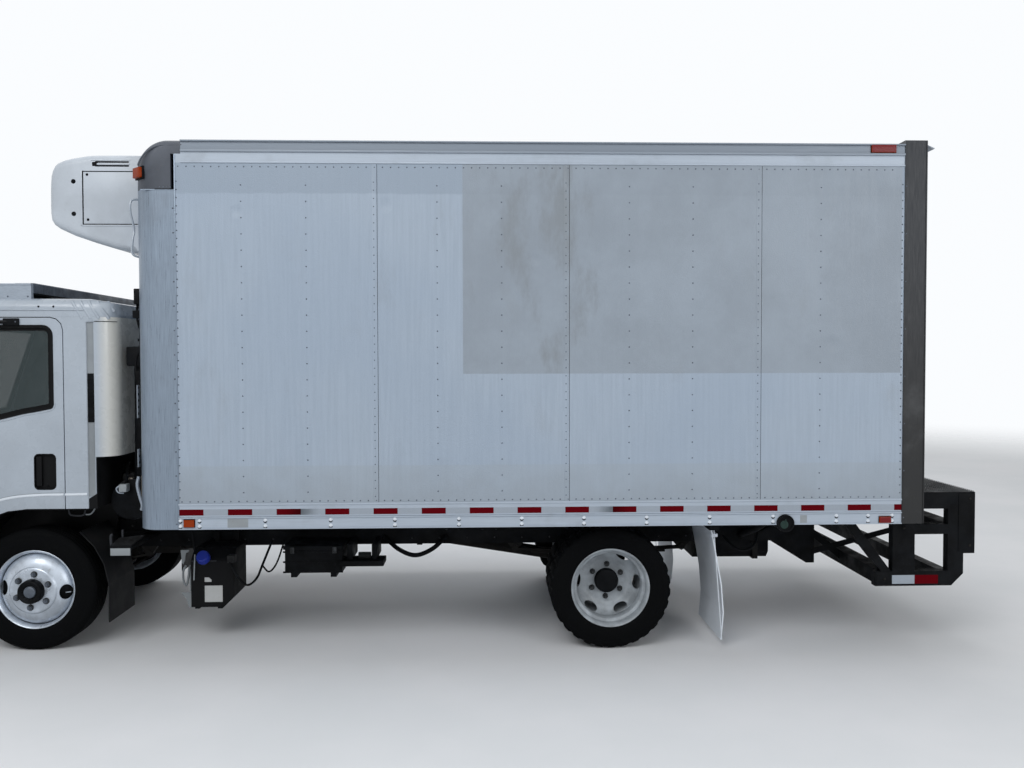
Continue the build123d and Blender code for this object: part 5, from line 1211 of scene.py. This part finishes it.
# Rear platform: toothed walkway and bars, reflective tape and braces
HALF_DECK = 1100
deck = Shape(GRATE, TREAD, BLACK, TAPE_RED, TAPE_WHITE, STEEL)
grating(deck, 5826, 6218, 1094, 1035.5, 8)
deck.use(BLACK)
for y in (-440, 440):
    deck.prism([(5384, 482), (5384, 526), (5988, 682), (6020, 682), (6020, 650)], y - 4, y + 4, 2)
for name in deck.both():
    deck.plates(HALF_DECK, (
        (BLACK, 5564, 5670, 0.5, 4, 418, 508, 3), (BLACK, 6114, 6224, 0.5, 4, 640, 1024, 3),
        (TAPE_WHITE, 5667, 5822, 1, 0.8, 428, 486, 0), (TAPE_RED, 5822, 5981, 1, 0.8, 428, 486, 0)))
    deck.use(STEEL)
    for x, z, proud in ((5620, 462, 3), (6190, 990, 3), (6190, 680, 3), (5748, 800, -0.5), (5748, 880, -0.5)):
        deck.dome(x, HALF_DECK + proud, z, 11, 8, 6)
    deck.use(TREAD)
    for z, x0, x1 in ((822, 5828, 6040), (512, 5830, 6090)):
        teeth = []
        for x in range(x0, x0 + 24 * int((x1 - x0) / 24), 24):
            teeth += [(x, z + 1), (x + 6, z + 9), (x + 17, z + 9), (x + 23, z + 1)]
        teeth += [(x1, z - 1), (x0, z - 1)]
        for w in (1092, 1072, 1052):
            deck.loops([[deck.at(x, v, u) for x, u in teeth] for v in (w - 2, w + 2)], ends=False)
for n in range(6):
    y = -900 + n * 300
    deck.use(TAPE_RED if n % 2 else TAPE_WHITE).box(6220, 6224.2, y, y + 298, 955, 1005)
deck.finish("platform_treads_and_tape", "chassis", "chassis_black", angle=25)

# Rear door and frame: hinges, rivets, latch, bottom seal, lamps and a blank plate
tail = Shape(NUT, BLACK, RED, CLEAR, LABEL, STAINLESS_PAINTED_REFLECTION, ALUMINIUM)
BACK = (1, 0, 0)
DOOR, DOOR_LOW = 5784, 1016
PANELS = 6
PANEL = (3206 - 1013 - 6) / PANELS
tail.use(ALUMINIUM)
for n in range(1, PANELS):
    z = DOOR_LOW + n * PANEL
    for y in (-1000, -340, 340, 1000):
        tail.box(DOOR - 2, DOOR + 3, y - 34, y + 34, z - 42, z + 42, 2)
        tail.rod((DOOR + 3, y - 34, z), (DOOR + 3, y + 34, z), 6, 8)
        for dy in (-22, 22):
            for dz in (-28, 28):
                tail.dome(DOOR + 3, y + dy, z + dz, 4.5, 3, normal=BACK)
for n in range(PANELS):
    for y in range(-1040, 1041, 104):
        tail.dome(DOOR, y, DOOR_LOW + (n + 1) * PANEL - 16, 4, 2, 6, BACK)
tail.use(NUT).box(DOOR - 1, DOOR + 6, -95, 95, 1050, 1260, 3)
tail.box(DOOR + 4, DOOR + 26, -20, 20, 1056, 1230, 4)
tail.rod((DOOR + 18, -60, 1205), (DOOR + 18, 60, 1205), 10, 12)
tail.use(BLACK).box(DOOR - 1, DOOR + 16, -1118, 1118, 1014, 1040, 4)
tail.pipe([(DOOR + 20, 60, 1066), (DOOR + 26, 90, 1046), (DOOR + 30, 120, 1028)], 6, 8, 4)
for name in tail.both():
    for kind, z in ((RED, 1330), (RED, 1240), (CLEAR, 1150)):
        tail.use(BLACK).rod((BOX_REAR - 3, 1172, z), (BOX_REAR + 2, 1172, z), 40, 28)
        tail.use(kind).rod((BOX_REAR, 1172, z), (BOX_REAR + 6, 1172, z), 32, 28, 27)
    tail.use(STAINLESS_PAINTED_REFLECTION).box(BOX_REAR - 2, BOX_REAR + 3, 1128, 1216, 1100, 1385, 3)
    for z in range(900, 3250, 305):
        tail.use(NUT).dome(BOX_REAR, 1200, z, 6, 3, normal=BACK)
    tail.use(BLACK).box(BOX_REAR - 7, BOX_REAR + 4, 1115, 1127, 1030, 3200, 2)
for y in (-120, 0, 120):
    tail.use(BLACK).box(BOX_REAR - 3, BOX_REAR + 2, y - 38, y + 38, 3236, 3282, 3)
    tail.use(RED).box(BOX_REAR - 1, BOX_REAR + 6, y - 30, y + 30, 3242, 3276, 5)
tail.use(BLACK).box(BOX_REAR - 2, BOX_REAR + 3, 720, 1080, 900, 1005, 3)
tail.use(LABEL).box(BOX_REAR + 1, BOX_REAR + 4.5, 745, 1055, 900, 1000, 2)
tail.finish("rear_door_hardware", "chassis", "stainless")

# Marker lamps: black bezels, and red lenses at the rear
bezels = Shape(BLACK, RED)
for name in bezels.both():
    for x0, x1, low, high, kind in ((1083, 1148, 868, 913, None), (5526, 5599, 860, 899, RED),
                                    (5452, 5610, 3236, 3284, RED)):
        bezels.use(BLACK).box(x0 - 4, x1 + 4, HALF_BOX - 1, HALF_BOX + 3, low - 4, high + 4, 2)
        if kind:
            bezels.use(kind).box(x0 + 1, x1 - 1, HALF_BOX, HALF_BOX + 13, low + 1, high - 1, 4)
bezels.finish("marker_lamp_bezels", "chassis", "black_plastic")

# Mudflaps: top bar, bolts and stiff outer edge
flaps = Shape(FLAP, BLACK, NUT)
for name in flaps.both():
    flaps.use(BLACK).box(4455, 4520, 468, 1082, 790, 828, 5)
    for y in np.linspace(530, 1020, 5):
        flaps.use(NUT).dome(4522, y, 800, 9, 6, normal=BACK)
    edge = ((4488, 800), (4500, 640), (4512, 480), (4524, 320), (4536, 160), (4544, 62))
    flaps.use(FLAP).pipe([(x, 1071, z) for x, z in edge], 3, 6, 2)
flaps.finish("mudflap_trim", "chassis", "white_flap")

# Tanks and boxes under the box: shell, caps, bands, blank labels, ribs
shell = Shape(SEAL)
rows = []
for y, top in ((-784, 552), (-764, 572), (-702, 622), (-456, 624)):
    rows.append([place(x, y, z) for x, z in ((975, top), (975, 234), (1195, 234), (1265, 304), (1265, top))])
shell.loops(rows, bevel=9)
for x in (1035, 1175):
    shell.box(x, x + 40, -458, -428, 500, 690, 2)
shell.finish("fluid_tank_shell", "chassis", "black_plastic", "def_tank")
tanks = Shape(BLACK, BLUE, LABEL, GREY, STEEL, NUT, CAST, GREY_LABEL)
for x in (1018, 1172):
    for half, y0, y1, low, high, bevel in ((16, -786, -446, 226, 236, 2), (10, -787, -782, 540, 552, 1),
                                           (16, -700, -426, 622, 632, 2)):
        tanks.box(x - half, x + half, y0, y1, low, high, bevel)
tanks.pipe([(990, -740, 620), (985, -750, 760), (1010, -640, 800), (1060, -460, 790)], 9, 8, 6)
for z in (450, 520, 590):
    tanks.box(1586, 1998, -729, -724, z, z + 12, 2)
tanks.box(1588, 1996, -731, -424, 612, 636, 4)
tanks.box(1973, 2278, -740, -560, 494, 531, 4)
for x in (2040, 2210):
    tanks.box(x - 18, x + 18, -700, -430, 531, 640, 4)
tanks.use(BLUE).rod((1063, -776, 566), (1063, -800, 587), 45, 14)
tanks.rod((1063, -800, 587), (1063, -813, 598), 42, 28, 36)
tanks.use(GREY).rod((1063, -740, 534), (1063, -777, 567), 38, 24)
tanks.box(982, 1150, -787, -782, 549, 556, 1.5)
tanks.use(LABEL).box(1070, 1190, -787, -783, 272, 384, 1)
tanks.prism([(1070, 410), (1070, 440), (1098, 440), (1116, 424), (1116, 410)], -787, -783, 0.5)
tanks.use(GREY_LABEL).pipe([(1009, -794, 600), (1008, -796, 572), (1001, -796, 425)], 4.5, 8, 2)
tanks.use(NUT).rod((4800, -120, 728), (4800, -120, 740), 46, 20)
for x in (1650, 1940):
    tanks.box(x - 14, x + 14, -733, -727, 585, 628, 2)
tanks.use(STEEL)
for x in (4640, 5000):
    for y0, y1, low, high in ((-314, 314, 424, 430), (-315, -310, 426, 690), (310, 315, 426, 690)):
        tanks.box(x - 20, x + 20, y0, y1, low, high, 1.5)
tanks.use(CAST).rod((2095, -650, 552), (2180, -650, 552), 24, 14)
for n in range(6):
    x = 1000 + n * 180
    band = ((x - 8, 141), (x - 8, 145), (x + 8, 145), (x + 8, 141))
    tanks.use(CAST if n in (0, 5) else STEEL)
    tanks.loops([circle(place(u, 625.5, 520), Y, Z, r, 36) for u, r in band], ends=False)
tanks.finish("tank_and_box_fittings", "chassis", "chassis_black")

# Springs: U-bolts, clips and dampers; frame bolts, lines along the rails and cables
under = Shape(STEEL, NUT, BLACK, BARE, CAST)
for station, low in ((0, 350), (WHEELBASE, 330)):
    for name in under.both():
        for x in (station - 62, station + 62):
            bow = ((377, low), (377, 548), (389, 560), (461, 560), (473, 548), (473, low))
            under.use(BARE).pipe([(x, y, z) for y, z in bow[::under.side]], 9, 10, 2)
            for y in (377, 473):
                under.use(NUT).rod((x, y, low + 2), (x, y, low + 24), 16, 6)
        under.rod((station + 150, 342, 470), (station + 196, 345, 640), 16, 12)
        under.use(STEEL).box(station - 84, station + 84, 359, 491, low + 24, low + 38, 4)
        under.use(BLACK).rod((station + 120, 340, low + 10), (station + 190, 345, 600), 28, 16)
for name in under.both():
    for x in range(-950, 5251, 200):
        for z in (626, 730):
            under.use(NUT).dome(x, 426, z, 8, 7, 6)
    under.use(BLACK).pipe([(-600, 434, 700), (900, 434, 690), (2200, 434, 700), (3400, 434, 690)], 7, 8, 8)
for radius, sides, points in (
        (16, 10, ((2250, -440, 640), (2360, -500, 560), (2480, -520, 520), (2600, -500, 560), (2700, -440, 640))),
        (9, 8, ((4700, -520, 640), (4766, -600, 572), (4840, -612, 556), (4910, -600, 600), (4960, -500, 680))),
        (8, 8, ((1233, -790, 561), (1300, -810, 450), (1359, -800, 389), (1420, -790, 430), (1461, -780, 525),
                (1480, -600, 640))),
        (6, 8, ((1461, -800, 525), (1500, -760, 470), (1540, -700, 520), (1560, -560, 640)))):
    under.pipe(points, radius, sides, 6)
under.use(CAST).box(1225, 1275, -800, -740, 540, 590, 6)
for x in (2700, 2790, 2960, 3060):
    under.use(NUT).dome(x, -428, 690, 10, 7, 6, (0, -1, 0))
under.finish("spring_and_frame_fittings", "chassis", "spring_steel")

# Seats: sewn cushions filled by a cloth simulation, on rigid bases
SETTLE_STEPS = 20


def settled(pad):
    """New mesh of a cushion with its modifiers applied."""
    return bpy.data.meshes.new_from_object(pad.evaluated_get(bpy.context.evaluated_depsgraph_get()))


def filled(name, rows, cap, seams):
    """Closed cushion blown up a little inside its cover, by no more than cap, then drawn in along its seams.

    Seams are a distance from the seam, its width and its depth. All are in metres.
    """
    shell = Shape(CLOTH)
    shell.soften(shell.loops(rows), 30, 3)
    bmesh.ops.recalc_face_normals(shell.mesh, faces=shell.mesh.faces)
    data = bpy.data.meshes.new(name)
    shell.mesh.to_mesh(data)
    shell.mesh.free()
    pad = bpy.data.objects.new(name, data)
    bpy.context.scene.collection.objects.link(pad)
    remesh = pad.modifiers.new("remesh", "REMESH")
    remesh.mode, remesh.voxel_size = "VOXEL", 0.016
    pad.data, old = settled(pad), pad.data
    pad.modifiers.clear()
    bpy.data.meshes.remove(old)
    start = np.array([v.co[:] for v in pad.data.vertices])
    cover = pad.modifiers.new("cloth", "CLOTH").settings
    cover.quality = 4
    cover.use_pressure = True
    cover.uniform_pressure_force = 4
    cover.effector_weights.gravity = 0
    for step in range(1, SETTLE_STEPS + 1):
        bpy.context.scene.frame_set(step)
    blown = settled(pad)
    pad.modifiers.clear()
    bpy.context.scene.frame_set(1)
    moved = np.array([v.co[:] for v in blown.vertices]) - start
    bpy.data.meshes.remove(blown)
    length = np.linalg.norm(moved, axis=1, keepdims=True)
    moved *= np.minimum(1, cap / np.maximum(length, 1e-9))
    pad.data.vertices.foreach_set("co", (start + moved).ravel())
    normals = [v.normal.copy() for v in pad.data.vertices]
    for vertex, normal in zip(pad.data.vertices, normals):
        vertex.co -= normal * max(sunk * exp(-(away(vertex.co) / width) ** 2) for away, width, sunk in seams)
    pad.data.materials.clear()
    pad.data.materials.append(CLOTH)
    pad.data.shade_smooth()
    smooth = pad.modifiers.new("smooth", "SUBSURF")
    smooth.levels = smooth.render_levels = 1
    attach(pad, "cab")
    return pad


def seams(axis, places, sunk):
    """Seams across an axis, at places in metres along it."""
    return [(lambda p, v=v: p[axis] - v, 0.012, sunk) for v in places]


for seat, y0, y1, middle in (("driver", -870, -410, []), ("passenger", -330, 870, [0.27])):
    lower, upper = [[[place(x, y, z) for x, z in outline] for y in (y0, y1)] for outline in (
        ((-262, 1206), (222, 1200), (228, 1330), (-120, 1344), (-258, 1338)),
        ((250, 1290), (322, 1298), (432, 1950), (376, 1962), (268, 1500)))]
    along = seams(1, [y0 / 1000 + 0.09, y1 / 1000 - 0.09] + middle, 0.010)
    across = seams(0, [(FRONT_AXLE + x) / 1000 for x in (-130, 0, 120)], 0.007)
    filled(f"seat_cushion_{seat}", lower, 0.014, along + across)
    filled(f"seat_back_{seat}", upper, 0.012, along + seams(2, (1.46, 1.6, 1.74), 0.007))
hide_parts("seats")

bases = Shape(DASH, STEEL, BLACK)
for y0, y1 in ((-880, -408), (408, 880)):
    bases.use(DASH).box(-240, 220, y0 + 10, y1 - 10, 1010, 1176, 10)
    for y in (y0 + 50, y1 - 50):
        bases.use(STEEL).box(-236, 216, y - 14, y + 14, 998, 1014, 2)
bases.use(DASH)
for y0, y1 in ((-870, -410), (-330, 870)):
    bases.box(-262, 226, y0 + 12, y1 - 12, 1176, 1206, 8)
    bases.prism([(226, 1200), (330, 1230), (352, 1330), (322, 1330)], y0 + 20, y1 - 20, 5)
bases.use(BLACK).rod((-100, -392, 1200), (-60, -392, 1290), 9, 10)
for y in (-850, 850):
    bases.box(395, 440, y - 16, y + 16, 1180, 1240, 5)
    bases.prism([(440, 2040), (446, 2040), (420, 1240), (414, 1240)], y - 24, y + 24, 1)
bases.finish("seat_bases_and_belts", "cab", "dash_grey")

low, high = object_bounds()
